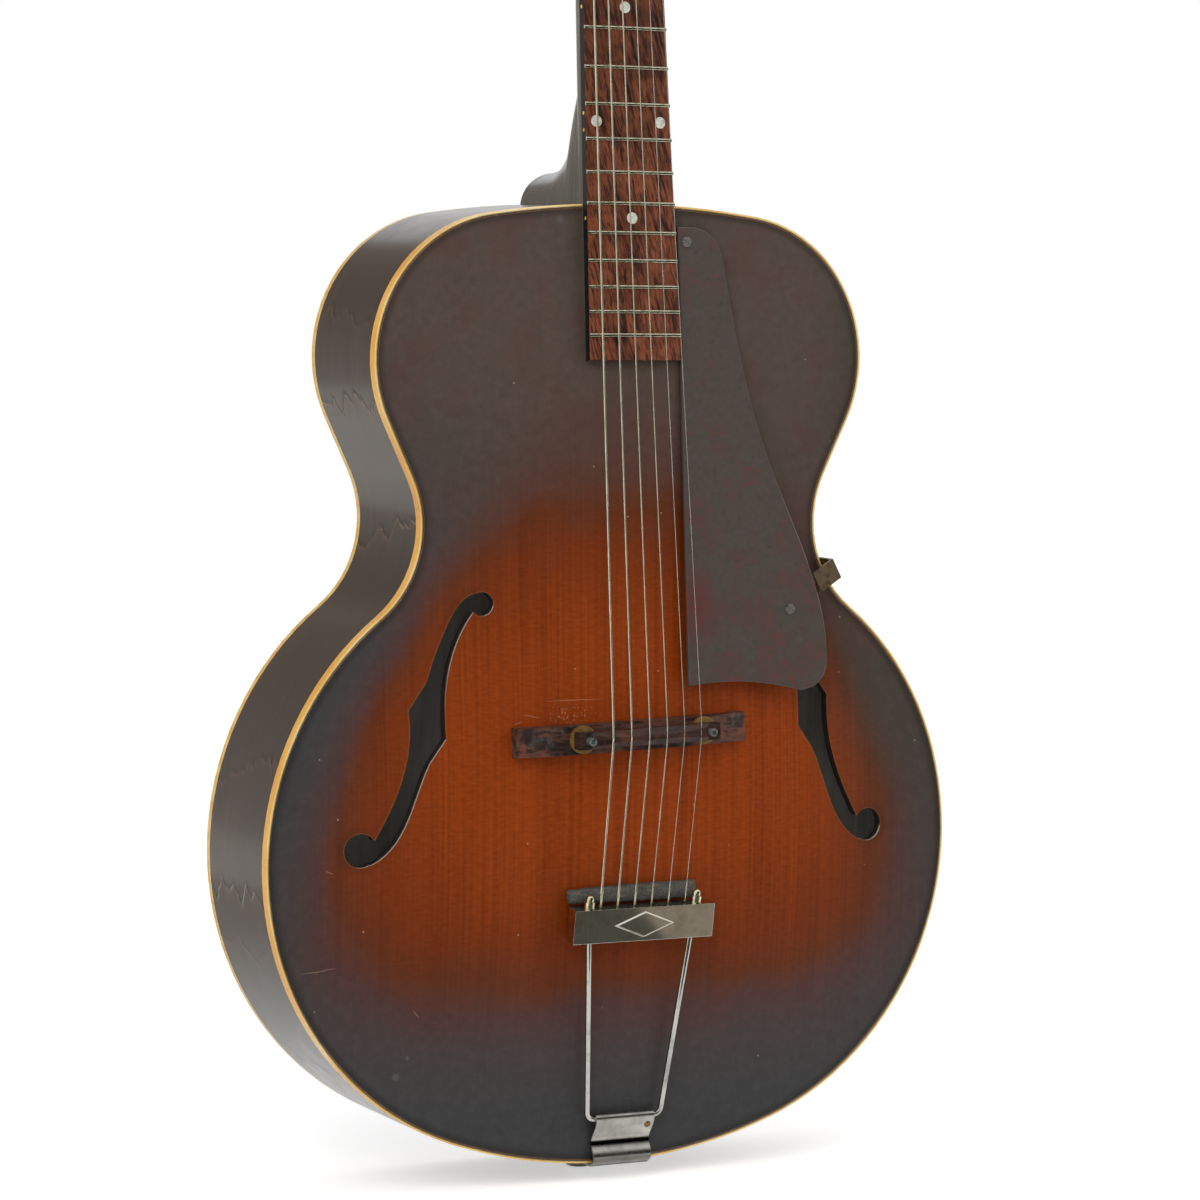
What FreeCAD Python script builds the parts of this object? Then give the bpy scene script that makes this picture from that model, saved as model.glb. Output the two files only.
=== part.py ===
import FreeCAD, Part
import math
import os
from FreeCAD import Placement, Rotation, Vector

# An archtop guitar, standing on its tail. +Z runs up the centre line to the headstock, the
# carved top faces -Y and +X is the treble side. The origin is where the end pin meets the
# tail, at half the depth of the rim. All sizes are in millimetres and degrees.

# Body outline, as tangent circles
BODY_LENGTH = 519.0
TAIL_RADIUS = 282.0
LOWER_BOUT = 408.5
LOWER_RADIUS = 164.0
WAIST = 236.5
WAIST_RADIUS = 60.0
UPPER_BOUT = 291.0
UPPER_RADIUS = 78.0
SHOULDER_RADIUS = 540.0

# Rim, plates and binding
RIM_DEPTH = 85.0
RIB_THICK = 2.5
TOP_EDGE = 6.0
BACK_EDGE = 4.5
TOP_RISE = 19.0
BACK_RISE = 17.0
ARCH_REACH = 85.0
BINDING_WIDTH = 2.0
LINING_WIDTH = 6.0
LINING_HEIGHT = 14.0
ARCH_COLUMNS = 27
ARCH_ROWS = 33
ARCH_MARGIN = 12.0
RIM_SAMPLES = 260

# Blocks, tone bars and end pin
NECK_BLOCK_WIDTH = 90.0
NECK_BLOCK_LENGTH = 62.0
TAIL_BLOCK_WIDTH = 80.0
TAIL_BLOCK_LENGTH = 32.0
TONE_BAR_WIDTH = 8.0
TONE_BAR_OFFSET = 38.0
TONE_BAR_BOTTOM = 112.0
TONE_BAR_TOP = 425.0
PIN_PEG_RADIUS = 5.6
PIN_PEG_TIP = 4.8
PIN_PEG_LENGTH = 28.0
PIN_NECK_RADIUS = 5.2
PIN_NECK_LENGTH = 4.0
PIN_FLANGE_RADIUS = 9.0
PIN_FLANGE_LENGTH = 5.0

# Sound holes, on the treble side; the bass side is its mirror image
EYE_TOP = (84.4, 306.6)
EYE_TOP_RADIUS = 6.3
EYE_LOW = (152.8, 178.4)
EYE_LOW_RADIUS = 9.0
EYE_BLEND = 0.6
STEM_OUTER_UPPER = [(88.6, 312.1), (92.4, 310.3), (102.6, 297.2), (112.4, 275.4), (115.9, 265.6)]
STEM_OUTER_LOWER = [(126.1, 251.2), (127.5, 224.9), (131.9, 210.3), (145.0, 184.0)]
STEM_INNER_LOWER = [(147.6, 170.4), (138.6, 176.3), (121.2, 208.8), (115.0, 223.3)]
STEM_INNER_UPPER = [(105.9, 235.7), (105.9, 255.8), (98.2, 286.8), (88.5, 302.9)]

# Neck, measured from the fourteenth fret at the body's edge
SCALE_LENGTH = 628.65
JOIN_FRET = 14
FRET_COUNT = 19
NECK_TILT = 6.06
BOARD_RISE = 6.75
BOARD_THICK = 6.0
BOARD_PAST = 83.5
BOARD_RADIUS = 305.0
NUT_WIDTH = 40.0
JOIN_WIDTH = 51.9
NECK_DEPTH_NUT = 13.0
NECK_DEPTH_JOIN = 17.0
NECK_SHOULDER = 2.0
HEEL_WIDTH = 44.4
HEEL_LIP = 16.8
HEEL_ROOT = 3.0
HEEL_SWEEP = 80.0
HEEL_FALL = 14.5
HEEL_STATIONS = 9
TENON_LENGTH = 20.0
TENON_ROOT = 22.0
TENON_TIP = 30.0
TENON_DEPTH = 62.0
JOINT_CLEARANCE = 0.1
FRET_WIDTH = 2.2
FRET_HEIGHT = 1.1
TANG_WIDTH = 0.6
TANG_DEPTH = 1.8
DOT_RADIUS = 3.1
DOT_DEPTH = 1.6
DOT_SPREAD = 19.0
DOT_FRETS = (3, 5, 7, 9, 12, 15)
DOUBLE_DOT_FRET = 12
SIDE_DOT_RADIUS = 1.0
SIDE_DOT_DEPTH = 1.5
SIDE_DOT_SPREAD = 4.5
NUT_THICK = 5.0
NUT_LIP = 0.7

# Truss rod
ROD_RADIUS = 2.4
ROD_CHANNEL_WIDTH = 6.0
ROD_CHANNEL_DEPTH = 9.5
ROD_FOOT = 14.0
ROD_NUT_RADIUS = 4.0
ROD_NUT_LENGTH = 11.0
ROD_POCKET_WIDTH = 14.0
ROD_POCKET_LENGTH = 24.0
ROD_POCKET_START = 8.0
ROD_END = 9.5
ROD_NUT_ROOM = 0.6
ROD_COVER_WIDTH = 22.0
ROD_COVER_LENGTH = 36.0
ROD_COVER_THICK = 1.6

# Headstock
HEAD_TILT = 17.0
HEAD_STEP = 3.0
HEAD_LENGTH = 174.0
HEAD_WIDTH_LOW = 66.0
HEAD_WIDTH_HIGH = 74.0
HEAD_FLARE = 24.0
HEAD_CROWN = 14.0
HEAD_THICK = 14.0
VENEER_THICK = 1.2

# Tuners, in the headstock's own frame
TUNER_FIRST = 52.0
TUNER_SPACING = 38.0
TUNER_OFFSET = 22.0
POST_RADIUS = 3.0
POST_RISE = 12.5
POST_HOLE_RADIUS = 0.9
POST_RUNNING_CLEARANCE = 0.05
BUSH_RADIUS = 4.4
BUSH_FLANGE_RADIUS = 5.5
BUSH_FLANGE_THICK = 1.4
BUSH_LENGTH = 8.0
PLATE_THICK = 1.0
PLATE_WIDTH = 15.0
PLATE_SHIFT = 2.5
PLATE_LENGTH = 106.0
WORM_PITCH = 2.2
WORM_RADIUS = 2.4
WORM_TURNS = 4
THREAD_WIDTH = 0.62
THREAD_HEIGHT = 0.8
SHAFT_RADIUS = 1.5
SHAFT_CLEARANCE = 0.05
GEAR_TEETH = 14
GEAR_THICK = 3.2
GEAR_GAP = 2.7
TOOTH_WIDTH = 0.62
EAR_THICK = 1.2
EAR_GAP = 0.4
BUTTON_START = 4.0
BUTTON_LENGTH = 15.0
BUTTON_WIDTH = 18.0
BUTTON_THICK = 8.5
BUTTON_STEM = 3.0

# Bridge
BRIDGE_SLANT = 1.9
BRIDGE_LENGTH = 137.0
BRIDGE_WIDTH = 15.5
BRIDGE_TOP = 23.5
BRIDGE_END_DROP = 4.5
BRIDGE_FLAT = 92.0
BRIDGE_SHIFT = -1.5
BRIDGE_BASE_DROP = 1.0
SADDLE_LENGTH = 84.0
SADDLE_WIDTH = 9.0
SADDLE_CREST = 66.0
SADDLE_SHELF = 37.5
SADDLE_BASE = 31.0
SADDLE_COMPENSATION = 4.5
STRING_LIFT = 4.4
BRIDGE_POST_SPACING = 72.0
BRIDGE_POST_RADIUS = 2.2
BRIDGE_POST_TOP = 41.8
BRIDGE_POST_DIMPLE = 1.2
BRIDGE_POST_SINK = 6.0
BRIDGE_POST_CLEARANCE = 0.2
WHEEL_RADIUS = 7.5
WHEEL_THICK = 3.0
WHEEL_CLEARANCE = 0.05
WHEEL_NOTCHES = 36
WHEEL_NOTCH_RADIUS = 0.35

# Tailpiece; it sits a little to the treble side
TAIL_SHIFT = 2.6
HINGE_HEIGHT = 25.7
HINGE_RISE = 6.5
HINGE_WIDTH = 35.0
HINGE_SHEET = 1.2
HINGE_CLEARANCE = 0.1
STRAP_REACH = 13.0
TRAPEZE_ROD_RADIUS = 1.5
TRAPEZE_FOOT = 22.0
TRAPEZE_HEAD = 64.5
TRAPEZE_BEND = 4.5
BAR_LENGTH = 83.5
BAR_BOTTOM = 101.5
BAR_HEIGHT = 18.6
BAR_DEPTH = 8.0
BAR_SHEET = 1.4
DIAMOND_LENGTH = 37.0
DIAMOND_HEIGHT = 15.0
DIAMOND_RISE = 0.7
DOME_RADIUS = 2.3
DOME_HEIGHT = 7.5
DOME_COLLAR_RADIUS = 3.0
DOME_COLLAR_HEIGHT = 3.8
HINGE_SCREW_RADIUS = 1.6

# Pickguard, a flat sheet tilted a little less than the neck
GUARD_TILT = 4.2
GUARD_RISE = 6.4
GUARD_TOP = 507.0
GUARD_THICK = 2.4
GUARD_BEVEL = 0.6
GUARD_NECK_GAP = 0.8
GUARD_CORNER = [(38.3, 507.0), (49.5, 501.5), (55.1, 491.7)]
GUARD_EDGE = [(55.1, 491.7), (64.2, 441.9), (77.1, 392.7), (101.2, 333.7), (112.6, 298.0),
              (114.9, 276.3)]
GUARD_ROUND = [(114.9, 276.3), (110.3, 261.6), (97.7, 256.9)]
GUARD_BOTTOM = [(97.7, 256.9), (71.0, 261.9), (29.6, 261.1)]
GUARD_SCREW = (92.2, 301.0)
GUARD_NECK_SCREW = (33.0, 499.0)
GUARD_SCREW_RADIUS = 1.4
GUARD_HEAD_RADIUS = 2.8
SPACER_RADIUS = 4.5
BRACKET_LINE = (92.2, 305.5)
BRACKET_WIDTH = 11.5
BRACKET_SHEET = 1.3
BRACKET_TAIL = 9.0
BRACKET_FREE = 21.0
BRACKET_DROP = 5.0
BRACKET_LEG = 34.0
BRACKET_GAP = 0.6
BRACKET_HOLE_AT = 18.8
BRACKET_HOLE_RADIUS = 1.8
SIDE_SCREW_LENGTH = 9.0

# Strings from bass to treble, their spacing, and the foam pad under them
STRING_DIAMETERS = (1.3, 1.1, 0.85, 0.65, 0.45, 0.35)
WOUND_STRINGS = 4
NUT_SPREAD = 34.0
SADDLE_SPREAD = 53.2
SADDLE_STRING_SHIFT = 3.2
TAIL_SPREAD = 50.7
NUT_STRING_RISE = 1.9
STRING_SLOT_CLEARANCE = 0.15
MOVING_SLOT_CLEARANCE = 0.35
SADDLE_BEND = 8.0
NUT_BEND = 5.0
COIL_TURNS = 2.5
COIL_GAP = 0.5
COIL_CLEARANCE = 0.35
COIL_START = 3.6
STRING_TAIL = 4.0
BALL_RADIUS = 2.1
BALL_LENGTH = 3.2
BALL_GAP = 1.3
PAD_LENGTH = 77.0
PAD_SHIFT = 0.0
PAD_BOTTOM = 145.3
PAD_TOP = 155.6
PAD_SAG = 0.9
PAD_RISE = 21.5
PAD_CROWN = 1.5
PAD_GAP = 0.3

FRONT = -RIM_DEPTH / 2
BACK = RIM_DEPTH / 2


def fret_distance(number):
    """Distance from the nut to a fret."""
    return SCALE_LENGTH * (1 - 2 ** (-number / 12))


NUT_AT = fret_distance(JOIN_FRET)
NECK_JOIN = Vector(0, FRONT - BOARD_RISE, BODY_LENGTH)
NECK_FRAME = Placement(NECK_JOIN, Rotation(Vector(1, 0, 0), -NECK_TILT))
HEAD_SEAT = Placement(Vector(0, HEAD_STEP, NUT_AT + NUT_THICK), Rotation(Vector(1, 0, 0), -HEAD_TILT))
HEAD_FRAME = NECK_FRAME.multiply(HEAD_SEAT)
HEAD_BACK = VENEER_THICK + HEAD_THICK
GEAR_RADIUS = GEAR_TEETH * WORM_PITCH / (2 * math.pi)
WORM_OFFSET = GEAR_RADIUS + WORM_RADIUS
GEAR_MIDDLE = HEAD_BACK + PLATE_THICK + GEAR_GAP + GEAR_THICK / 2
WORM_HALF = WORM_PITCH * WORM_TURNS / 2
BOARD_TAPER = (JOIN_WIDTH - NUT_WIDTH) / NUT_AT


# Small helpers

def moved(shape, placement):
    """A copy of a shape carried from its own frame to the guitar's."""
    copy = shape.copy()
    copy.Placement = placement.multiply(copy.Placement)
    return copy


def block(x0, x1, y0, y1, z0, z1):
    """A box between two corners."""
    return Part.makeBox(x1 - x0, y1 - y0, z1 - z0, Vector(x0, y0, z0))


def mirrored(shape):
    """The same shape on the other side of the centre line."""
    return shape.mirror(Vector(0, 0, 0), Vector(1, 0, 0))


def one_solid(shape):
    """The single largest solid of a boolean's result."""
    solids = sorted(shape.Solids, key=lambda solid: solid.Volume)
    return solids[-1]


def group(shapes):
    """Separate solids kept together in one node."""
    return Part.makeCompound([solid for shape in shapes for solid in shape.Solids])


def spline(points, y=0.0):
    """A smooth edge through points given as (x, z)."""
    curve = Part.BSplineCurve()
    curve.interpolate([Vector(x, y, z) for x, z in points])
    return curve.toShape()


def line(start, end, y=0.0):
    """A straight edge between two (x, z) points."""
    return Part.makeLine(Vector(start[0], y, start[1]), Vector(end[0], y, end[1]))


def arc(centre, start, end, middle_way):
    """An arc about centre from start to end, through the side that middle_way points to."""
    radius = math.dist(centre, start)
    length = math.hypot(*middle_way)
    middle = [centre[i] + radius * middle_way[i] / length for i in (0, 1)]
    points = [Vector(x, 0, z) for x, z in (start, middle, end)]
    return Part.Arc(*points).toShape()


def prism(edges, y0, y1):
    """The closed outline, drawn at y = 0, as a solid from y0 to y1."""
    face = Part.Face(Part.Wire(Part.__sortEdges__(edges)))
    solid = face.extrude(Vector(0, y1 - y0, 0))
    solid.translate(Vector(0, y0, 0))
    return solid


def disc_y(x, z, radius, y0, y1):
    """A cylinder along Y."""
    return Part.makeCylinder(radius, y1 - y0, Vector(x, y0, z), Vector(0, 1, 0))


def disc_x(x0, x1, y, z, radius):
    """A cylinder along X."""
    return Part.makeCylinder(radius, x1 - x0, Vector(x0, y, z), Vector(1, 0, 0))


# Body outline and arching

def outline_circles():
    """Centres of the outline's circles on the treble side, from the tail to the shoulder."""
    tail = (0.0, TAIL_RADIUS)
    low_x = LOWER_BOUT / 2 - LOWER_RADIUS
    low_z = TAIL_RADIUS - math.sqrt((TAIL_RADIUS - LOWER_RADIUS) ** 2 - low_x ** 2)
    waist_x = WAIST / 2 + WAIST_RADIUS
    reach = LOWER_RADIUS + WAIST_RADIUS
    waist_z = low_z + math.sqrt(reach ** 2 - (waist_x - low_x) ** 2)
    shoulder = (0.0, BODY_LENGTH - SHOULDER_RADIUS)
    up_x = UPPER_BOUT / 2 - UPPER_RADIUS
    up_z = shoulder[1] + math.sqrt((SHOULDER_RADIUS - UPPER_RADIUS) ** 2 - up_x ** 2)
    return tail, (low_x, low_z), (waist_x, waist_z), (up_x, up_z), shoulder


def towards(start, end, distance):
    """The point at a distance from start on the way to end."""
    length = math.dist(start, end)
    return tuple(start[i] + (end[i] - start[i]) * distance / length for i in (0, 1))


def half_outline(inset):
    """Edges of the treble half of the outline, drawn in from the rim's face by inset."""
    tail, low, waist, up, shoulder = outline_circles()
    tail_join = towards(tail, low, TAIL_RADIUS - inset)
    waist_join = towards(low, waist, LOWER_RADIUS - inset)
    shoulder_join = towards(shoulder, up, SHOULDER_RADIUS - inset)
    span = math.dist(up, waist)
    along = ((waist[0] - up[0]) / span, (waist[1] - up[1]) / span)
    cosine = min(1.0, (UPPER_RADIUS + WAIST_RADIUS) / span)
    sine = math.sqrt(1 - cosine ** 2)
    normal = (along[0] * cosine - along[1] * sine, along[0] * sine + along[1] * cosine)
    up_join = tuple(up[i] + normal[i] * (UPPER_RADIUS - inset) for i in (0, 1))
    neck_side = tuple(waist[i] - normal[i] * (WAIST_RADIUS + inset) for i in (0, 1))
    edges = [
        arc(tail, (0.0, inset), tail_join, (tail_join[0] / 2, (inset + tail_join[1]) / 2 - tail[1])),
        arc(low, tail_join, waist_join, (1.0, 0.0)),
        arc(waist, waist_join, neck_side, (-1.0, 0.0)),
        arc(up, up_join, shoulder_join, (1.0, 1.0)),
        arc(shoulder, shoulder_join, (0.0, BODY_LENGTH - inset), (shoulder_join[0] / 2, SHOULDER_RADIUS)),
    ]
    if math.dist(neck_side, up_join) > 0.01:
        edges.append(line(neck_side, up_join))
    return edges


def outline_prism(inset, y0, y1):
    """The whole outline as a solid."""
    half = half_outline(inset)
    return prism(half + [mirrored(edge) for edge in half], y0, y1)


def rim_ring(inset, width, y0, y1):
    """A band of a width inside the outline."""
    return outline_prism(inset, y0, y1).cut(outline_prism(inset + width, y0 - 1, y1 + 1))


def rim_points():
    """Points along the plate's edge, with the length of rim that each stands for."""
    half = Part.Wire(Part.__sortEdges__(half_outline(BINDING_WIDTH)))
    step = 2 * half.Length / RIM_SAMPLES
    points = half.discretize(Distance=step)
    right = [(point.x, point.z) for point in points]
    left = [(-x, z) for x, z in right[1:-1]]
    return right + left, step


def arch_heights():
    """Grid of the arching, from 0 at the edge towards 1, as rows of (x, z, share)."""
    rim, step = rim_points()
    outline = Part.Face(Part.Wire(Part.__sortEdges__(
        half_outline(BINDING_WIDTH) + [mirrored(edge) for edge in half_outline(BINDING_WIDTH)])))
    half_width = max(LOWER_BOUT, UPPER_BOUT) / 2 + ARCH_MARGIN
    rows = []
    for row in range(ARCH_ROWS):
        z = -ARCH_MARGIN + (BODY_LENGTH + 2 * ARCH_MARGIN) * row / (ARCH_ROWS - 1)
        line_of_points = []
        for column in range(ARCH_COLUMNS):
            x = half_width * (2 * column / (ARCH_COLUMNS - 1) - 1)
            share = 0.0
            if outline.isInside(Vector(x, 0, z), 0.01, True):
                pull = sum(step / max(math.dist((x, z), point), step / 2) ** 3 for point in rim)
                share = 1 - math.exp(-2 / (pull * ARCH_REACH ** 2))
            line_of_points.append((x, z, share))
        rows.append(line_of_points)
    return rows


ARCH = arch_heights()


def arch_face(rise, y_edge, side):
    """Arched surface that meets the rim at y_edge; side is -1 for the front, 1 for the back."""
    grid = [[Vector(x, y_edge + side * rise * share, z) for x, z, share in row] for row in ARCH]
    surface = Part.BSplineSurface()
    surface.interpolate(grid)
    return surface.toShape()


def front_space(y_edge):
    """Everything in front of the arched surface that meets the rim at y_edge."""
    return arch_face(TOP_RISE, y_edge, -1).extrude(Vector(0, -90, 0))


def back_space(y_edge):
    """Everything behind the back's arched surface that meets the rim at y_edge."""
    return arch_face(BACK_RISE, y_edge, 1).extrude(Vector(0, 60, 0))


def behind_front():
    """Everything inside the body's outline and behind the face of the top plate."""
    body = arch_face(TOP_RISE, FRONT, -1).extrude(Vector(0, RIM_DEPTH, 0))
    return body.common(outline_prism(0, FRONT - TOP_RISE - 5, BACK))


# Body pieces

def sound_hole():
    """The treble sound hole as a cutting solid; its outer edge runs into the crown of the upper eye."""
    y0 = FRONT - TOP_RISE - 5
    y1 = FRONT + TOP_EDGE + 5
    crown = (EYE_TOP[0], EYE_TOP[1] + EYE_TOP_RADIUS - EYE_BLEND)
    edges = [
        spline([crown] + STEM_OUTER_UPPER),
        line(STEM_OUTER_UPPER[-1], STEM_OUTER_LOWER[0]),
        spline(STEM_OUTER_LOWER),
        line(STEM_OUTER_LOWER[-1], EYE_LOW),
        line(EYE_LOW, STEM_INNER_LOWER[0]),
        spline(STEM_INNER_LOWER),
        line(STEM_INNER_LOWER[-1], STEM_INNER_UPPER[0]),
        spline(STEM_INNER_UPPER),
        line(STEM_INNER_UPPER[-1], EYE_TOP),
        line(EYE_TOP, crown),
    ]
    stem = prism(edges, y0, y1)
    top = disc_y(EYE_TOP[0], EYE_TOP[1], EYE_TOP_RADIUS, y0, y1)
    low = disc_y(EYE_LOW[0], EYE_LOW[1], EYE_LOW_RADIUS, y0, y1)
    return stem.fuse([top, low])


def tenon(extra):
    """The neck's dovetail in the body; extra widens it for the mortise."""
    root = TENON_ROOT / 2 + extra
    tip = TENON_TIP / 2 + extra
    low = BODY_LENGTH - TENON_LENGTH - extra
    high = BODY_LENGTH + 2
    corners = [(-root, high), (root, high), (tip, low), (-tip, low)]
    edges = [line(corners[i], corners[(i + 1) % 4]) for i in range(4)]
    return prism(edges, FRONT - 12, FRONT + TENON_DEPTH + extra)


def body_pieces():
    """Plates, rim, binding, linings, blocks and tone bars."""
    mortise = tenon(JOINT_CLEARANCE)
    rib_front = FRONT + TOP_EDGE
    rib_back = BACK - BACK_EDGE
    hole = sound_hole()

    top = arch_face(TOP_RISE, FRONT, -1).extrude(Vector(0, TOP_EDGE, 0))
    top = top.common(outline_prism(BINDING_WIDTH, FRONT - TOP_RISE - 5, rib_front + 5))
    top = one_solid(top.cut([hole, mirrored(hole), mortise]))
    back = arch_face(BACK_RISE, BACK, 1).extrude(Vector(0, -BACK_EDGE, 0))
    back = one_solid(back.common(outline_prism(BINDING_WIDTH, rib_back - 5, BACK + BACK_RISE + 5)))

    ribs = rim_ring(0, RIB_THICK, rib_front, rib_back).cut(mortise)
    half = LOWER_BOUT
    bass = ribs.common(block(-half, 0, -half, half, -half, 2 * BODY_LENGTH))
    treble = ribs.common(block(0, half, -half, half, -half, 2 * BODY_LENGTH))

    inside = outline_prism(RIB_THICK, FRONT - TOP_RISE, BACK + BACK_RISE)
    beyond = [front_space(rib_front), back_space(rib_back)]
    neck_block = block(-NECK_BLOCK_WIDTH / 2, NECK_BLOCK_WIDTH / 2, FRONT - TOP_RISE, BACK + BACK_RISE,
                       BODY_LENGTH - NECK_BLOCK_LENGTH, BODY_LENGTH)
    neck_block = neck_block.common(inside).cut(beyond)
    tail_block = block(-TAIL_BLOCK_WIDTH / 2, TAIL_BLOCK_WIDTH / 2, FRONT - TOP_RISE, BACK + BACK_RISE,
                       0, TAIL_BLOCK_LENGTH)
    tail_block = tail_block.common(inside).cut(beyond)
    front_lining = rim_ring(RIB_THICK, LINING_WIDTH, rib_front, rib_front + LINING_HEIGHT)
    back_lining = rim_ring(RIB_THICK, LINING_WIDTH, rib_back - LINING_HEIGHT, rib_back)
    half = BODY_LENGTH / 2
    rooms = [block(-NECK_BLOCK_WIDTH / 2, NECK_BLOCK_WIDTH / 2, FRONT, BACK, half, BODY_LENGTH),
             block(-TAIL_BLOCK_WIDTH / 2, TAIL_BLOCK_WIDTH / 2, FRONT, BACK, 0, half)]
    linings = [lining.cut(rooms) for lining in (front_lining, back_lining)]

    bars = []
    for side in (-1, 1):
        middle = side * TONE_BAR_OFFSET
        bar = block(middle - TONE_BAR_WIDTH / 2, middle + TONE_BAR_WIDTH / 2, FRONT - TOP_RISE,
                    rib_front, TONE_BAR_BOTTOM, TONE_BAR_TOP)
        bars.append(one_solid(bar.cut(beyond[0])))

    peg = end_pin()
    return {
        "top_plate": top,
        "back_plate": back,
        "rib_bass": one_solid(bass.cut(peg)),
        "rib_treble": one_solid(treble.cut(peg)),
        "top_binding": rim_ring(0, BINDING_WIDTH, FRONT, rib_front).cut(mortise),
        "back_binding": rim_ring(0, BINDING_WIDTH, rib_back, BACK),
        "linings": group(linings),
        "neck_block": one_solid(neck_block.cut(mortise)),
        "tail_block": one_solid(tail_block.cut(peg)),
        "tone_bars": group(bars),
        "end_pin": peg,
    }


def end_pin():
    """The strap button at the tail, with its tapered peg in the tail block."""
    seat = -HINGE_SHEET
    neck_end = seat - PIN_NECK_LENGTH
    tip = neck_end - PIN_FLANGE_LENGTH
    crown_start = (neck_end + tip) / 2
    points = [(0, tip), (PIN_FLANGE_RADIUS * 0.75, tip + PIN_FLANGE_LENGTH * 0.1),
              (PIN_FLANGE_RADIUS, crown_start), (PIN_FLANGE_RADIUS, neck_end),
              (PIN_NECK_RADIUS, seat - PIN_NECK_LENGTH * 0.5), (PIN_FLANGE_RADIUS - 1, seat),
              (PIN_PEG_RADIUS, seat), (PIN_PEG_TIP, PIN_PEG_LENGTH), (0, PIN_PEG_LENGTH)]
    corners = [Vector(x, 0, z) for x, z in points]
    face = Part.Face(Part.makePolygon(corners + corners[:1]))
    return face.revolve(Vector(0, 0, 0), Vector(0, 0, 1), 360)


# Neck pieces, in the neck's own frame: Z up the neck from the body's edge, the board's face at y = 0

def half_width(z):
    """Half the fretboard's width at a height on the neck."""
    return (JOIN_WIDTH - BOARD_TAPER * z) / 2


def taper_prism(z0, z1, y0, y1):
    """A solid that tapers with the fretboard."""
    corners = [(-half_width(z0), z0), (half_width(z0), z0), (half_width(z1), z1), (-half_width(z1), z1)]
    edges = [line(corners[i], corners[(i + 1) % 4]) for i in range(4)]
    return prism(edges, y0, y1)


def cambered(shape, rise):
    """The part of a shape under the fretboard's camber, raised by rise."""
    radius = BOARD_RADIUS + rise
    bar = Part.makeCylinder(radius, 2 * SCALE_LENGTH, Vector(0, BOARD_RADIUS, -SCALE_LENGTH), Vector(0, 0, 1))
    return shape.common(bar)


def neck_section(z, depth):
    """The section of the neck at a height: short straight shoulders under the board, then round."""
    a = half_width(z)
    low = BOARD_THICK + NECK_SHOULDER
    left = Vector(-a, BOARD_THICK, z)
    right = Vector(a, BOARD_THICK, z)
    left_low = Vector(-a, low, z)
    right_low = Vector(a, low, z)
    ellipse = Part.Ellipse(right_low, Vector(0, low + depth, z), Vector(0, low, z))
    curve = Part.ArcOfEllipse(ellipse, 0, math.pi).toShape()
    sides = [Part.makeLine(right, right_low), curve, Part.makeLine(left_low, left),
             Part.makeLine(left, right)]
    return Part.Wire(sides)


def heel_section(y):
    """The rounded section of the heel at a depth behind the fretboard's face."""
    end = RIM_DEPTH + BOARD_RISE
    share = (y - BOARD_THICK) / (end - BOARD_THICK)
    a = half_width(0) + (HEEL_WIDTH / 2 - half_width(0)) * share
    fall = max(0.0, y - BOARD_THICK - NECK_SHOULDER - NECK_DEPTH_JOIN * 0.75)
    base = y * math.tan(math.radians(NECK_TILT)) - HEEL_ROOT
    height = HEEL_ROOT + HEEL_LIP + HEEL_SWEEP * math.exp(-fall / HEEL_FALL)
    centre = Vector(0, y, base)
    side = Vector(a, y, base)
    top = Vector(0, y, base + height)
    if height > a:
        ellipse = Part.Ellipse(top, Vector(-a, y, base), centre)
        curve = Part.ArcOfEllipse(ellipse, -math.pi / 2, math.pi / 2)
    else:
        ellipse = Part.Ellipse(side, top, centre)
        curve = Part.ArcOfEllipse(ellipse, 0, math.pi)
    edge = curve.toShape()
    ends = [vertex.Point for vertex in edge.Vertexes]
    return Part.Wire([edge, Part.makeLine(ends[-1], ends[0])])


def heel():
    """The heel, lofted from the back of the neck to the back of the body."""
    start = BOARD_THICK
    end = RIM_DEPTH + BOARD_RISE
    stations = [start + (end - start) * (i / (HEEL_STATIONS - 1)) ** 1.2 for i in range(HEEL_STATIONS)]
    return Part.makeLoft([heel_section(y) for y in stations], True, False)


def headstock_outline(inset):
    """Edges of the headstock's face, in the headstock's frame."""
    foot = half_width(NUT_AT)
    low = HEAD_WIDTH_LOW / 2 - inset
    high = HEAD_WIDTH_HIGH / 2 - inset
    shoulder = HEAD_LENGTH - HEAD_CROWN
    right = [
        line((foot - inset, 0), (foot - inset, 4)),
        Part.Arc(Vector(foot - inset, 0, 4), Vector((foot + low) / 2 + 1.0, 0, HEAD_FLARE * 0.55),
                 Vector(low, 0, HEAD_FLARE + 6)).toShape(),
        line((low, HEAD_FLARE + 6), (high, shoulder)),
        Part.Arc(Vector(high, 0, shoulder), Vector(high * 0.62, 0, HEAD_LENGTH - inset - HEAD_CROWN * 0.22),
                 Vector(0, 0, HEAD_LENGTH - inset)).toShape(),
    ]
    return right + [mirrored(edge) for edge in right] + [line((inset - foot, 0), (foot - inset, 0))]


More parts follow.
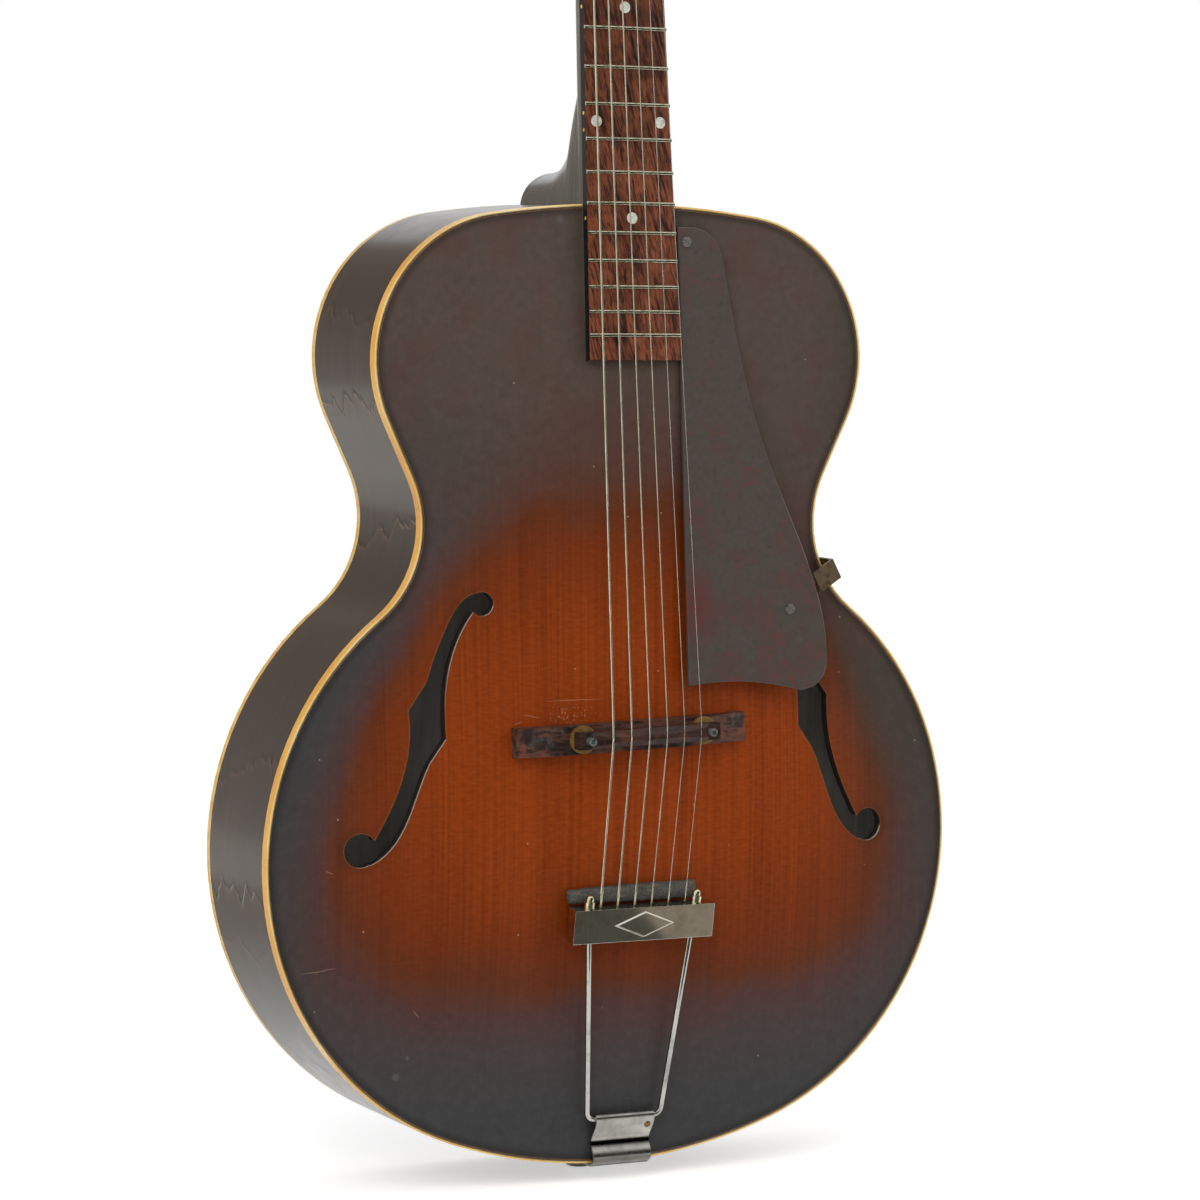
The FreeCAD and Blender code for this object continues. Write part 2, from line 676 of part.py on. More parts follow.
def neck_pieces():
    """Neck with heel, tenon and headstock, fretboard, frets, dots, nut and truss rod."""
    blank = taper_prism(-BOARD_PAST, NUT_AT, -5, BOARD_THICK)
    board = cambered(blank, 0)
    frets = [fret(number) for number in range(1, FRET_COUNT + 1)]
    dots = []
    side_dots = []
    for number in DOT_FRETS:
        middle = NUT_AT - (fret_distance(number) + fret_distance(number - 1)) / 2
        double = number == DOUBLE_DOT_FRET
        for offset in ((-DOT_SPREAD, DOT_SPREAD) if double else (0.0,)):
            dots.append(disc_y(offset, middle, DOT_RADIUS, -5, DOT_DEPTH).common(board))
        for offset in ((-SIDE_DOT_SPREAD, SIDE_DOT_SPREAD) if double else (0.0,)):
            x = -half_width(middle + offset)
            peg = disc_x(x - 1, x + SIDE_DOT_DEPTH, BOARD_THICK / 2 + 0.5, middle + offset, SIDE_DOT_RADIUS)
            side_dots.append(peg.common(board))
    board = board.cut(frets + dots + side_dots)

    nut_block = block(-NUT_WIDTH / 2, NUT_WIDTH / 2, -5, BOARD_THICK, NUT_AT, NUT_AT + NUT_THICK)
    nut = cambered(nut_block, NUT_STRING_RISE + NUT_LIP)

    head_start = NUT_AT + NUT_THICK
    stations = [(-HEEL_ROOT, NECK_DEPTH_JOIN), (HEEL_LIP, NECK_DEPTH_JOIN),
                (NUT_AT - 30, NECK_DEPTH_NUT + 0.5), (head_start, NECK_DEPTH_NUT - 0.5),
                (head_start + 9, NECK_DEPTH_NUT - 2)]
    shaft = Part.makeLoft([neck_section(z, depth) for z, depth in stations], True, True)
    tongue = taper_prism(-BOARD_PAST, 0, BOARD_THICK, BOARD_THICK + NECK_DEPTH_JOIN * 0.8)
    head = prism(headstock_outline(0), VENEER_THICK, HEAD_BACK)
    veneer = prism(headstock_outline(0), 0, VENEER_THICK)
    in_neck = NECK_FRAME.inverse()

    body = moved(behind_front(), in_neck)
    neck = shaft.fuse([heel(), tongue]).cut(body)
    neck = one_solid(neck).fuse(moved(head, HEAD_SEAT))
    dovetail = moved(tenon(0), in_neck).common(block(-50, 50, BOARD_THICK, 200, -50, HEEL_LIP))
    neck = neck.fuse(dovetail)
    clear_nut = block(-NUT_WIDTH, NUT_WIDTH, -50, BOARD_THICK, -BOARD_PAST - 50, NUT_AT + NUT_THICK)
    neck = neck.cut(clear_nut)

    channel_floor = BOARD_THICK + ROD_CHANNEL_DEPTH
    rod_end = NUT_AT + NUT_THICK + ROD_POCKET_START + ROD_END
    channel = block(-ROD_CHANNEL_WIDTH / 2, ROD_CHANNEL_WIDTH / 2, BOARD_THICK - 1, channel_floor,
                    ROD_FOOT, NUT_AT + NUT_THICK + ROD_POCKET_START + 2)
    pocket = moved(block(-ROD_POCKET_WIDTH / 2, ROD_POCKET_WIDTH / 2, -5, HEAD_BACK - 3,
                         ROD_POCKET_START, ROD_POCKET_START + ROD_POCKET_LENGTH), HEAD_SEAT)
    rod_y = channel_floor - ROD_RADIUS
    rod = Part.makeCylinder(ROD_RADIUS, rod_end - ROD_FOOT, Vector(0, rod_y, ROD_FOOT), Vector(0, 0, 1))
    rod_nut = Part.makeCylinder(ROD_NUT_RADIUS, ROD_NUT_LENGTH, Vector(0, rod_y, rod_end - ROD_NUT_LENGTH),
                                Vector(0, 0, 1))
    room = Part.makeCylinder(ROD_NUT_RADIUS + ROD_NUT_ROOM, ROD_NUT_LENGTH + 4,
                             Vector(0, rod_y, rod_end - ROD_NUT_LENGTH - 2), Vector(0, 0, 1))
    veneer = moved(veneer, HEAD_SEAT).cut([pocket, room, clear_nut])
    neck = neck.cut([channel, pocket, room, veneer])
    holes = [moved(disc_y(x, z, BUSH_RADIUS, -5, HEAD_BACK + 5), HEAD_SEAT) for x, z in tuner_places()]
    neck = one_solid(neck.cut(holes))
    veneer = one_solid(veneer.cut(holes))
    cover, screws = rod_cover()
    pieces = {
        "neck": neck,
        "headstock_veneer": veneer,
        "fretboard": board,
        "frets": group(frets),
        "fret_dots": group(dots),
        "side_dots": group(side_dots),
        "nut": nut,
        "truss_rod": rod.cut(rod_nut),
        "truss_rod_nut": rod_nut,
        "truss_rod_cover": moved(cover, HEAD_SEAT),
        "headstock_screws": moved(screws, HEAD_SEAT),
    }
    return {name: moved(shape, NECK_FRAME) for name, shape in pieces.items()}


def fret(number):
    """One fret: a rounded crown on a tang, bent to the fretboard's camber."""
    z = NUT_AT - fret_distance(number)
    crown = Part.Arc(Vector(0, 0, z - FRET_WIDTH / 2), Vector(0, -FRET_HEIGHT, z),
                     Vector(0, 0, z + FRET_WIDTH / 2)).toShape()
    points = [(0, z + FRET_WIDTH / 2), (0, z + TANG_WIDTH / 2), (TANG_DEPTH, z + TANG_WIDTH / 2),
              (TANG_DEPTH, z - TANG_WIDTH / 2), (0, z - TANG_WIDTH / 2), (0, z - FRET_WIDTH / 2)]
    edges = [Part.makeLine(Vector(0, *points[i]), Vector(0, *points[i + 1])) for i in range(len(points) - 1)]
    face = Part.Face(Part.Wire([crown] + edges))
    angle = math.degrees(math.asin(half_width(z) / BOARD_RADIUS))
    axis_at = Vector(0, BOARD_RADIUS, 0)
    face.rotate(axis_at, Vector(0, 0, 1), -angle)
    return face.revolve(axis_at, Vector(0, 0, 1), 2 * angle)


def rod_cover():
    """Cover over the truss rod's pocket and its two screws, in the headstock's frame."""
    low = ROD_POCKET_START - 3
    high = low + ROD_COVER_LENGTH
    half = ROD_COVER_WIDTH / 2
    edges = [line((-half, low), (half, low)), line((half, low), (half, low + 8)),
             Part.Arc(Vector(half, 0, low + 8), Vector(half * 0.8, 0, high - half * 0.8),
                      Vector(0, 0, high)).toShape(),
             Part.Arc(Vector(0, 0, high), Vector(-half * 0.8, 0, high - half * 0.8),
                      Vector(-half, 0, low + 8)).toShape(),
             line((-half, low + 8), (-half, low))]
    plate = prism(edges, -ROD_COVER_THICK, 0)
    screws = []
    for z in (low + 2.0, high - 3.0):
        head = disc_y(0, z, 1.5, -ROD_COVER_THICK - 0.5, -ROD_COVER_THICK)
        screws.append(head.fuse(disc_y(0, z, 0.9, -ROD_COVER_THICK, VENEER_THICK)))
    plate = plate.cut(screws)
    return plate, group(screws)


# Tuners, in the headstock's frame

def tuner_places():
    """Post centres on the headstock's face, in string order from bass to treble."""
    heights = [TUNER_FIRST + TUNER_SPACING * i for i in range(3)]
    return [(-TUNER_OFFSET, z) for z in heights] + [(TUNER_OFFSET, z) for z in reversed(heights)]


def tuner_post(x, z):
    """A string post with the gear wheel on its end; the gear's gap faces the worm's thread."""
    top = -POST_RISE
    post = disc_y(x, z, POST_RADIUS, top, GEAR_MIDDLE)
    hole = disc_x(x - 10, x + 10, top + 3.0, z, POST_HOLE_RADIUS)
    root = GEAR_RADIUS - THREAD_HEIGHT - 0.35
    tip = GEAR_RADIUS + THREAD_HEIGHT - 0.15
    y0 = GEAR_MIDDLE - GEAR_THICK / 2
    gear = disc_y(x, z, root, y0, y0 + GEAR_THICK)
    tooth = block(-TOOTH_WIDTH / 2, TOOTH_WIDTH / 2, y0, y0 + GEAR_THICK, root - 0.5, tip)
    teeth = []
    for number in range(GEAR_TEETH):
        copy = tooth.copy()
        copy.rotate(Vector(0, 0, 0), Vector(0, 1, 0), 360 * (number + 0.5) / GEAR_TEETH)
        copy.translate(Vector(x, 0, z))
        teeth.append(copy)
    screw = disc_y(x, z, 2.2, y0 + GEAR_THICK, y0 + GEAR_THICK + 1.2)
    slot = block(x - 3, x + 3, y0 + GEAR_THICK + 0.7, y0 + GEAR_THICK + 2, z - 0.3, z + 0.3)
    return one_solid(post.cut(hole).fuse([gear, screw] + teeth).cut(slot))


def worm_thread():
    """The worm's helical thread along X, its middle turn facing the gear below it at x = 0."""
    radius = WORM_RADIUS
    helix = Part.makeHelix(WORM_PITCH, WORM_PITCH * WORM_TURNS, radius)
    half = THREAD_WIDTH / 2
    inner = SHAFT_RADIUS * 0.75
    outer = WORM_RADIUS + THREAD_HEIGHT
    corners = [Vector(inner, 0, -half), Vector(outer, 0, -half * 0.7), Vector(outer, 0, half * 0.7),
               Vector(inner, 0, half)]
    profile = Part.makePolygon(corners + corners[:1])
    thread = Part.Wire(helix).makePipeShell([profile], True, True)
    thread.translate(Vector(0, 0, -WORM_HALF))
    thread.rotate(Vector(0, 0, 0), Vector(0, 1, 0), 90)
    return thread


def tuner_worm(x, z):
    """A worm shaft from its inner ear to the button."""
    side = math.copysign(1, x)
    thread = worm_thread()
    inner_end = x - side * (WORM_HALF + EAR_GAP + 2 * EAR_THICK + 1.0)
    outer_end = side * (HEAD_WIDTH_HIGH / 2 + BUTTON_START + BUTTON_LENGTH * 0.6)
    low, high = sorted((inner_end, outer_end))
    shaft = disc_x(low, high, GEAR_MIDDLE, z + WORM_OFFSET, SHAFT_RADIUS)
    core = disc_x(x - WORM_HALF, x + WORM_HALF, GEAR_MIDDLE, z + WORM_OFFSET, SHAFT_RADIUS + 0.05)
    trim = disc_x(-WORM_HALF, WORM_HALF, 0, 0, 2 * WORM_RADIUS)
    thread = thread.common(trim)
    thread.translate(Vector(x, GEAR_MIDDLE, z + WORM_OFFSET))
    return one_solid(shaft.fuse([core, thread]))


def tuner_button(x, z):
    """The oval button on a worm shaft's outer end."""
    side = math.copysign(1, x)
    start = side * (HEAD_WIDTH_HIGH / 2 + BUTTON_START)
    centre_z = z + WORM_OFFSET
    stem = disc_x(*sorted((start, start + side * BUTTON_LENGTH * 0.4)), GEAR_MIDDLE, centre_z, BUTTON_STEM)
    middle = start + side * (BUTTON_LENGTH * 0.58)
    low_face = GEAR_MIDDLE - BUTTON_THICK / 2
    centre = Vector(middle, low_face, centre_z)
    long_end = centre + Vector(0, 0, BUTTON_WIDTH / 2)
    short_end = centre + Vector(BUTTON_LENGTH * 0.42, 0, 0)
    ellipse = Part.Ellipse(long_end, short_end, centre)
    oval = Part.Face(Part.Wire(ellipse.toShape())).extrude(Vector(0, BUTTON_THICK, 0))
    rims = [edge for edge in oval.Edges if len(edge.Vertexes) == 1]
    oval = oval.makeFillet(BUTTON_THICK * 0.4, rims)
    shaft = disc_x(*sorted((start - side, side * (HEAD_WIDTH_HIGH / 2 + BUTTON_START + BUTTON_LENGTH * 0.6))),
                   GEAR_MIDDLE, centre_z, SHAFT_RADIUS)
    return one_solid(stem.fuse(oval).cut(shaft))


def tuner_plate(side):
    """The plate on the back of the headstock, with two bent ears for each worm shaft."""
    places = [(x, z) for x, z in tuner_places() if x * side > 0]
    middle = sum(z for x, z in places) / len(places) + PLATE_SHIFT
    x = side * TUNER_OFFSET
    half = PLATE_WIDTH / 2
    plate = block(x - half, x + half, HEAD_BACK, HEAD_BACK + PLATE_THICK, middle - PLATE_LENGTH / 2,
                  middle + PLATE_LENGTH / 2)
    ears = []
    cuts = []
    for post_x, z in places:
        for way in (-1, 1):
            start = post_x + way * (WORM_HALF + EAR_GAP)
            x0, x1 = sorted((start, start + way * EAR_THICK))
            ears.append(block(x0, x1, HEAD_BACK, GEAR_MIDDLE + 3.2, z + WORM_OFFSET - 3, z + WORM_OFFSET + 3))
        cuts.append(disc_y(post_x, z, POST_RADIUS + POST_RUNNING_CLEARANCE, HEAD_BACK - 1, GEAR_MIDDLE))
        bore = SHAFT_RADIUS + SHAFT_CLEARANCE
        cuts.append(disc_x(post_x - 15, post_x + 15, GEAR_MIDDLE, z + WORM_OFFSET, bore))
    screws = []
    reach = PLATE_LENGTH / 2 - 4
    for end in (middle - reach, TUNER_FIRST + TUNER_SPACING * 0.62, middle + reach):
        head = disc_y(x, end, 2.0, HEAD_BACK + PLATE_THICK, HEAD_BACK + PLATE_THICK + 0.9)
        screws.append(head.fuse(disc_y(x, end, 1.1, HEAD_BACK - 6, HEAD_BACK + PLATE_THICK)))
    plate = plate.fuse(ears).cut(cuts + screws)
    return one_solid(plate), screws


def tuner_bush(x, z):
    """The bushing that a post turns in, at the headstock's face."""
    flange = disc_y(x, z, BUSH_FLANGE_RADIUS, -BUSH_FLANGE_THICK, 0)
    bush = flange.fuse(disc_y(x, z, BUSH_RADIUS, 0, BUSH_LENGTH))
    return bush.cut(disc_y(x, z, POST_RADIUS + POST_RUNNING_CLEARANCE, -5, BUSH_LENGTH + 5))


def tuner_pieces():
    """Both tuner sets."""
    bass_plate, bass_screws = tuner_plate(-1)
    treble_plate, treble_screws = tuner_plate(1)
    pieces = {
        "tuner_plate_bass": bass_plate,
        "tuner_plate_treble": treble_plate,
        "headstock_screws": group(bass_screws + treble_screws),
        "post_bushings": group([tuner_bush(x, z) for x, z in tuner_places()]),
    }
    for number, (x, z) in enumerate(tuner_places(), 1):
        pieces["tuner_worm_%d" % number] = tuner_worm(x, z)
        pieces["tuner_button_%d" % number] = tuner_button(x, z)
        pieces["tuner_post_%d" % number] = tuner_post(x, z)
    return {name: moved(shape, HEAD_FRAME) for name, shape in pieces.items()}


# Strings

def in_neck(x, y, z):
    """A point of the neck's frame in the guitar's."""
    return NECK_FRAME.multVec(Vector(x, y, z))


def string_share(number):
    """Place of a string across the set, from -0.5 at the bass to 0.5 at the treble."""
    return number / (len(STRING_DIAMETERS) - 1) - 0.5


def saddle_point(number):
    """Where a string's middle crosses the saddle."""
    x = SADDLE_STRING_SHIFT + SADDLE_SPREAD * string_share(number)
    slant = math.tan(math.radians(BRIDGE_SLANT)) * x
    sag = BOARD_RADIUS - math.sqrt(BOARD_RADIUS ** 2 - x ** 2)
    down = SCALE_LENGTH - NUT_AT + SADDLE_COMPENSATION
    return in_neck(x, sag - STRING_LIFT, -down + slant)


def nut_point(number):
    """Where a string's middle crosses the nut."""
    x = NUT_SPREAD * string_share(number)
    sag = BOARD_RADIUS - math.sqrt(BOARD_RADIUS ** 2 - x ** 2)
    return in_neck(x, sag - NUT_STRING_RISE, NUT_AT)


SADDLE_MIDDLE = (saddle_point(2) + saddle_point(3)) * 0.5
SADDLE_Z = SADDLE_MIDDLE.z - math.tan(math.radians(BRIDGE_SLANT)) * SADDLE_MIDDLE.x
HINGE_POINT = Vector(TAIL_SHIFT, FRONT - HINGE_RISE, HINGE_HEIGHT)
TAIL_PITCH = math.degrees(math.atan2(HINGE_POINT.y - SADDLE_MIDDLE.y, SADDLE_MIDDLE.z - HINGE_POINT.z))
TAIL_FRAME = Placement(HINGE_POINT, Rotation(Vector(1, 0, 0), TAIL_PITCH))
BRIDGE_FRAME = Placement(Vector(0, FRONT, SADDLE_Z), Rotation(Vector(0, 1, 0), -BRIDGE_SLANT))


def ball_point(number):
    """Top of a string's ball end, under the crossbar's top flange."""
    x = TAIL_SPREAD * string_share(number)
    return TAIL_FRAME.multVec(Vector(x, 0, BAR_BOTTOM + BAR_HEIGHT - BAR_SHEET - BALL_GAP + 0.3))


def tangent_arc(start, tangent, end):
    """The arc that leaves start along tangent and ends at end, with its tangent there."""
    chord = end - start
    way = Vector(chord)
    way.normalize()
    along = tangent.dot(way)
    side = tangent - way * along
    if side.Length < 1e-6:
        return Part.makeLine(start, end), Vector(way)
    side.normalize()
    half_angle = math.acos(max(-1.0, min(1.0, along))) / 2
    middle = (start + end) * 0.5 + side * (chord.Length / 2 * math.tan(half_angle))
    leaving = way * (2 * along) - tangent
    return Part.Arc(start, middle, end).toShape(), leaving


def biarc(start, start_way, end, end_way):
    """Two arcs that join two points with given tangents."""
    gap = end - start
    both = start_way + end_way
    a = 2 * (start_way.dot(end_way) - 1)
    b = -2 * gap.dot(both)
    c = gap.dot(gap)
    if abs(a) < 1e-9:
        reach = -c / b
    else:
        reach = (-b - math.sqrt(b * b - 4 * a * c)) / (2 * a)
    joint = (start + start_way * reach + end - end_way * reach) * 0.5
    first, way = tangent_arc(start, start_way, joint)
    second, way = tangent_arc(joint, way, end)
    return [first, second]


def rounded_path(points, radii):
    """Straight runs through points, with each inner corner rounded by its radius."""
    edges = []
    start = points[0]
    for i in range(1, len(points) - 1):
        before = points[i] - points[i - 1]
        after = points[i + 1] - points[i]
        before.normalize()
        after.normalize()
        turn = math.acos(max(-1.0, min(1.0, before.dot(after))))
        cut = radii[i - 1] * math.tan(turn / 2)
        first = points[i] - before * cut
        last = points[i] + after * cut
        edges.append(Part.makeLine(start, first))
        edges.append(tangent_arc(first, before, last)[0])
        start = last
    edges.append(Part.makeLine(start, points[-1]))
    return edges


def coil(number):
    """Edges of a string's turns round its post, its first point and the turns' points."""
    x, z = tuner_places()[number]
    side = math.copysign(1, x)
    diameter = STRING_DIAMETERS[number]
    radius = POST_RADIUS + COIL_CLEARANCE + diameter / 2
    pitch = diameter + COIL_GAP
    nut_end = HEAD_FRAME.inverse().multVec(nut_point(number))
    away = math.hypot(nut_end.x - x, nut_end.z - z)
    to_nut = math.atan2(nut_end.z - z, nut_end.x - x)
    first_angle = to_nut - side * math.acos(radius / away)
    turn = -side

    def at(angle):
        swing = first_angle + turn * angle
        return HEAD_FRAME.multVec(Vector(x + radius * math.cos(swing),
                                         -COIL_START - pitch * angle / (2 * math.pi),
                                         z + radius * math.sin(swing)))

    def way(angle):
        swing = first_angle + turn * angle
        vector = Vector(-turn * radius * math.sin(swing), -pitch / (2 * math.pi),
                        turn * radius * math.cos(swing))
        vector.normalize()
        return HEAD_FRAME.Rotation.multVec(vector)

    quarters = round(COIL_TURNS * 4)
    start = at(0)
    arrival = start - nut_point(number)
    arrival.normalize()
    edges = []
    before = arrival
    for quarter in range(quarters):
        end_angle = (quarter + 1) * math.pi / 2
        edges += biarc(at(quarter * math.pi / 2), before, at(end_angle), way(end_angle))
        before = way(end_angle)
    last = at(quarters * math.pi / 2)
    edges.append(Part.makeLine(last, last + before * STRING_TAIL))
    samples = [at(2 * math.pi * COIL_TURNS * i / 200) for i in range(201)]
    return edges, start, samples


def least_gap(samples, diameter):
    """Least clear distance between turns that are at least half a turn apart."""
    apart = round(len(samples) / COIL_TURNS / 2)
    least = min(samples[i].distanceToPoint(samples[j])
                for i in range(len(samples)) for j in range(i + apart, len(samples)))
    return least - diameter


def string_path(number):
    """Edges of one string from its ball end, over the saddle and the nut, to its post."""
    turns, start, samples = coil(number)
    points = [ball_point(number), saddle_point(number), nut_point(number), start]
    runs = rounded_path(points, [SADDLE_BEND, NUT_BEND])
    gap = least_gap(samples, STRING_DIAMETERS[number])
    print("string %d: least gap between its turns %.2f mm" % (number + 1, gap))
    return runs, turns


def tube(edges, diameter):
    """A round wire along edges."""
    path = Part.Wire(edges)
    start = path.Edges[0]
    point = start.valueAt(start.FirstParameter)
    tangent = start.tangentAt(start.FirstParameter)
    profile = Part.Wire(Part.makeCircle(diameter / 2, point, tangent))
    return path.makePipeShell([profile], True, False)


def string_pieces():
    """Six strings with their ball ends, and the cutters for their slots."""
    strings = []
    nut_slots = []
    saddle_slots = []
    balls = []
    for number, diameter in enumerate(STRING_DIAMETERS):
        runs, turns = string_path(number)
        strings.append(tube(runs + turns, diameter))
        nut_slots.append(tube(runs, diameter + 2 * STRING_SLOT_CLEARANCE))
        saddle_slots.append(tube(runs, diameter + 2 * MOVING_SLOT_CLEARANCE))
        low = BAR_BOTTOM + BAR_HEIGHT - BAR_SHEET - BALL_GAP - BALL_LENGTH
        seat = Vector(TAIL_SPREAD * string_share(number), 0, low)
        ball = Part.makeCylinder(BALL_RADIUS, BALL_LENGTH, seat, Vector(0, 0, 1))
        balls.append(moved(ball, TAIL_FRAME))
    pieces = {
        "strings_wound": group(strings[:WOUND_STRINGS]),
        "strings_plain": group(strings[WOUND_STRINGS:]),
        "ball_ends": group(balls),
    }
    return pieces, nut_slots, saddle_slots


# Bridge, in its own frame: y = 0 at the rim's front plane, heights are -y

def bridge_pieces(saddle_slots):
    """Base, saddle, posts and thumbwheels."""
    half = BRIDGE_LENGTH / 2
    flat = BRIDGE_FLAT / 2
    width = BRIDGE_WIDTH / 2
    end_top = BRIDGE_TOP - BRIDGE_END_DROP
    profile = [(-half, 0), (-half, end_top), (-flat, BRIDGE_TOP), (flat, BRIDGE_TOP), (half, end_top),
               (half, 0)]
    corners = [Vector(x + BRIDGE_SHIFT, -y, -width - BRIDGE_BASE_DROP) for x, y in profile]
    base = Part.Face(Part.makePolygon(corners + corners[:1])).extrude(Vector(0, 0, 2 * width))
    base = moved(base, BRIDGE_FRAME).cut(behind_front())
    base = one_solid(base)

    places = (-BRIDGE_POST_SPACING / 2, BRIDGE_POST_SPACING / 2)
    post_foot = BRIDGE_POST_SINK - BRIDGE_TOP
    dimple_floor = -BRIDGE_POST_TOP + BRIDGE_POST_DIMPLE
    posts = []
    for x in places:
        post = disc_y(x, 0, BRIDGE_POST_RADIUS, -BRIDGE_POST_TOP, post_foot)
        posts.append(post.cut(disc_y(x, 0, BRIDGE_POST_DIMPLE, -BRIDGE_POST_TOP - 1, dimple_floor)))
    crest_back = BRIDGE_FRAME.inverse()
    crest = crest_back.multVec(SADDLE_MIDDLE)
    saddle_half = SADDLE_LENGTH / 2
    crest_half = SADDLE_CREST / 2
    camber = BOARD_RADIUS - math.sqrt(BOARD_RADIUS ** 2 - crest_half ** 2)
    top = -crest.y - 0.1
    edges = [
        line((-saddle_half, SADDLE_BASE), (saddle_half, SADDLE_BASE)),
        line((saddle_half, SADDLE_BASE), (saddle_half, SADDLE_SHELF)),
        line((saddle_half, SADDLE_SHELF), (crest_half + 2, SADDLE_SHELF)),
        line((crest_half + 2, SADDLE_SHELF), (crest_half, top - camber)),
        Part.Arc(Vector(crest_half, 0, top - camber), Vector(0, 0, top),
                 Vector(-crest_half, 0, top - camber)).toShape(),
        line((-crest_half, top - camber), (-crest_half - 2, SADDLE_SHELF)),
        line((-crest_half - 2, SADDLE_SHELF), (-saddle_half, SADDLE_SHELF)),
        line((-saddle_half, SADDLE_SHELF), (-saddle_half, SADDLE_BASE)),
    ]
    saddle = prism(edges, -SADDLE_WIDTH / 2, SADDLE_WIDTH / 2)
    saddle.rotate(Vector(0, 0, 0), Vector(1, 0, 0), 90)
    slope = SADDLE_WIDTH / 2
    bevel_points = [(slope + 0.1, SADDLE_SHELF), (slope + 0.1, top + 1), (1.2, top + 1), (1.2, top - 0.4)]
    for way in (-1, 1):
        corners = [Vector(-saddle_half, -y, way * z) for z, y in bevel_points]
        wedge = Part.Face(Part.makePolygon(corners + corners[:1])).extrude(Vector(2 * saddle_half, 0, 0))
        saddle = saddle.cut(wedge)
    saddle = saddle.cut([disc_y(x, 0, BRIDGE_POST_RADIUS + BRIDGE_POST_CLEARANCE, -60, 0) for x in places])
    saddle = one_solid(moved(saddle, BRIDGE_FRAME).cut(saddle_slots))

    base = one_solid(base.cut([moved(post, BRIDGE_FRAME) for post in posts]))
    wheels = [moved(thumbwheel(x), BRIDGE_FRAME) for x in places]
    return {
        "bridge_base": base,
        "bridge_saddle": saddle,
        "bridge_posts": moved(group(posts), BRIDGE_FRAME),
        "thumbwheel_bass": wheels[0],
        "thumbwheel_treble": wheels[1],
    }


def thumbwheel(x):
    """A knurled height wheel under one end of the saddle."""
    y1 = -SADDLE_BASE + WHEEL_THICK
    wheel = disc_y(x, 0, WHEEL_RADIUS, -SADDLE_BASE, y1)
    cuts = [disc_y(x, 0, BRIDGE_POST_RADIUS + WHEEL_CLEARANCE, -SADDLE_BASE - 1, y1 + 1)]
    for number in range(WHEEL_NOTCHES):
        angle = 2 * math.pi * number / WHEEL_NOTCHES
        notch_x = x + WHEEL_RADIUS * math.cos(angle)
        notch_z = WHEEL_RADIUS * math.sin(angle)
        cuts.append(disc_y(notch_x, notch_z, WHEEL_NOTCH_RADIUS, -SADDLE_BASE - 1, y1 + 1))
    return wheel.cut(cuts)


# Tailpiece, in its own frame: the hinge's axis at the origin, Z along the pull of the strings

def hinge_plate():
    """The sheet from the hinge's knuckle, in waves down the front, over the tail to the end pin."""
    knuckle = TRAPEZE_ROD_RADIUS + HINGE_CLEARANCE + HINGE_SHEET
    y_knuckle = FRONT - HINGE_RISE
    x0 = TAIL_SHIFT - HINGE_WIDTH / 2
    rest = FRONT - 0.5
    waves = [(y_knuckle - knuckle + HINGE_SHEET, HINGE_HEIGHT), (rest - 3.6, HINGE_HEIGHT - 8),
             (rest - 1.0, HINGE_HEIGHT - 13.5), (rest - 3.8, HINGE_HEIGHT - 20.0), (rest, 0)]
    inner = Part.BSplineCurve()
    inner.interpolate([Vector(x0, y, z) for y, z in waves])
    outer_points = []
    for y, z in waves:
        parameter = inner.parameter(Vector(x0, y, z))
        tangent = inner.tangent(parameter)[0]
        outer_points.append(Vector(x0, y + tangent.z * HINGE_SHEET, z - tangent.y * HINGE_SHEET))
    outer = Part.BSplineCurve()
    outer.interpolate(outer_points)
    ends = [(inner.StartPoint, outer.StartPoint), (inner.EndPoint, outer.EndPoint)]
    edges = [inner.toShape(), outer.toShape()] + [Part.makeLine(a, b) for a, b in ends]
    front = Part.Face(Part.Wire(Part.__sortEdges__(edges))).extrude(Vector(HINGE_WIDTH, 0, 0))
    strap_edge = min(outer_points[-1].y, rest - HINGE_SHEET)
    strap = block(x0, x0 + HINGE_WIDTH, strap_edge, STRAP_REACH, -HINGE_SHEET, 0)
    roll = disc_x(x0, x0 + HINGE_WIDTH, y_knuckle, HINGE_HEIGHT, knuckle)
    bore = disc_x(x0 - 1, x0 + HINGE_WIDTH + 1, y_knuckle, HINGE_HEIGHT, TRAPEZE_ROD_RADIUS + HINGE_CLEARANCE)
    plate = front.fuse([strap, roll]).cut([bore, end_pin(), behind_front()])
    screw_x = TAIL_SHIFT + HINGE_WIDTH / 2 - 3.4
    screw_z = HINGE_HEIGHT - 5.2
    head_y = rest - 4.0 - HINGE_SHEET
    screw = disc_y(screw_x, screw_z, HINGE_SCREW_RADIUS, head_y - 0.8, head_y + 0.6)
    screw = screw.fuse(disc_y(screw_x, screw_z, HINGE_SCREW_RADIUS * 0.6, head_y, FRONT + TOP_EDGE - 1))
    return one_solid(plate.cut(screw)), screw


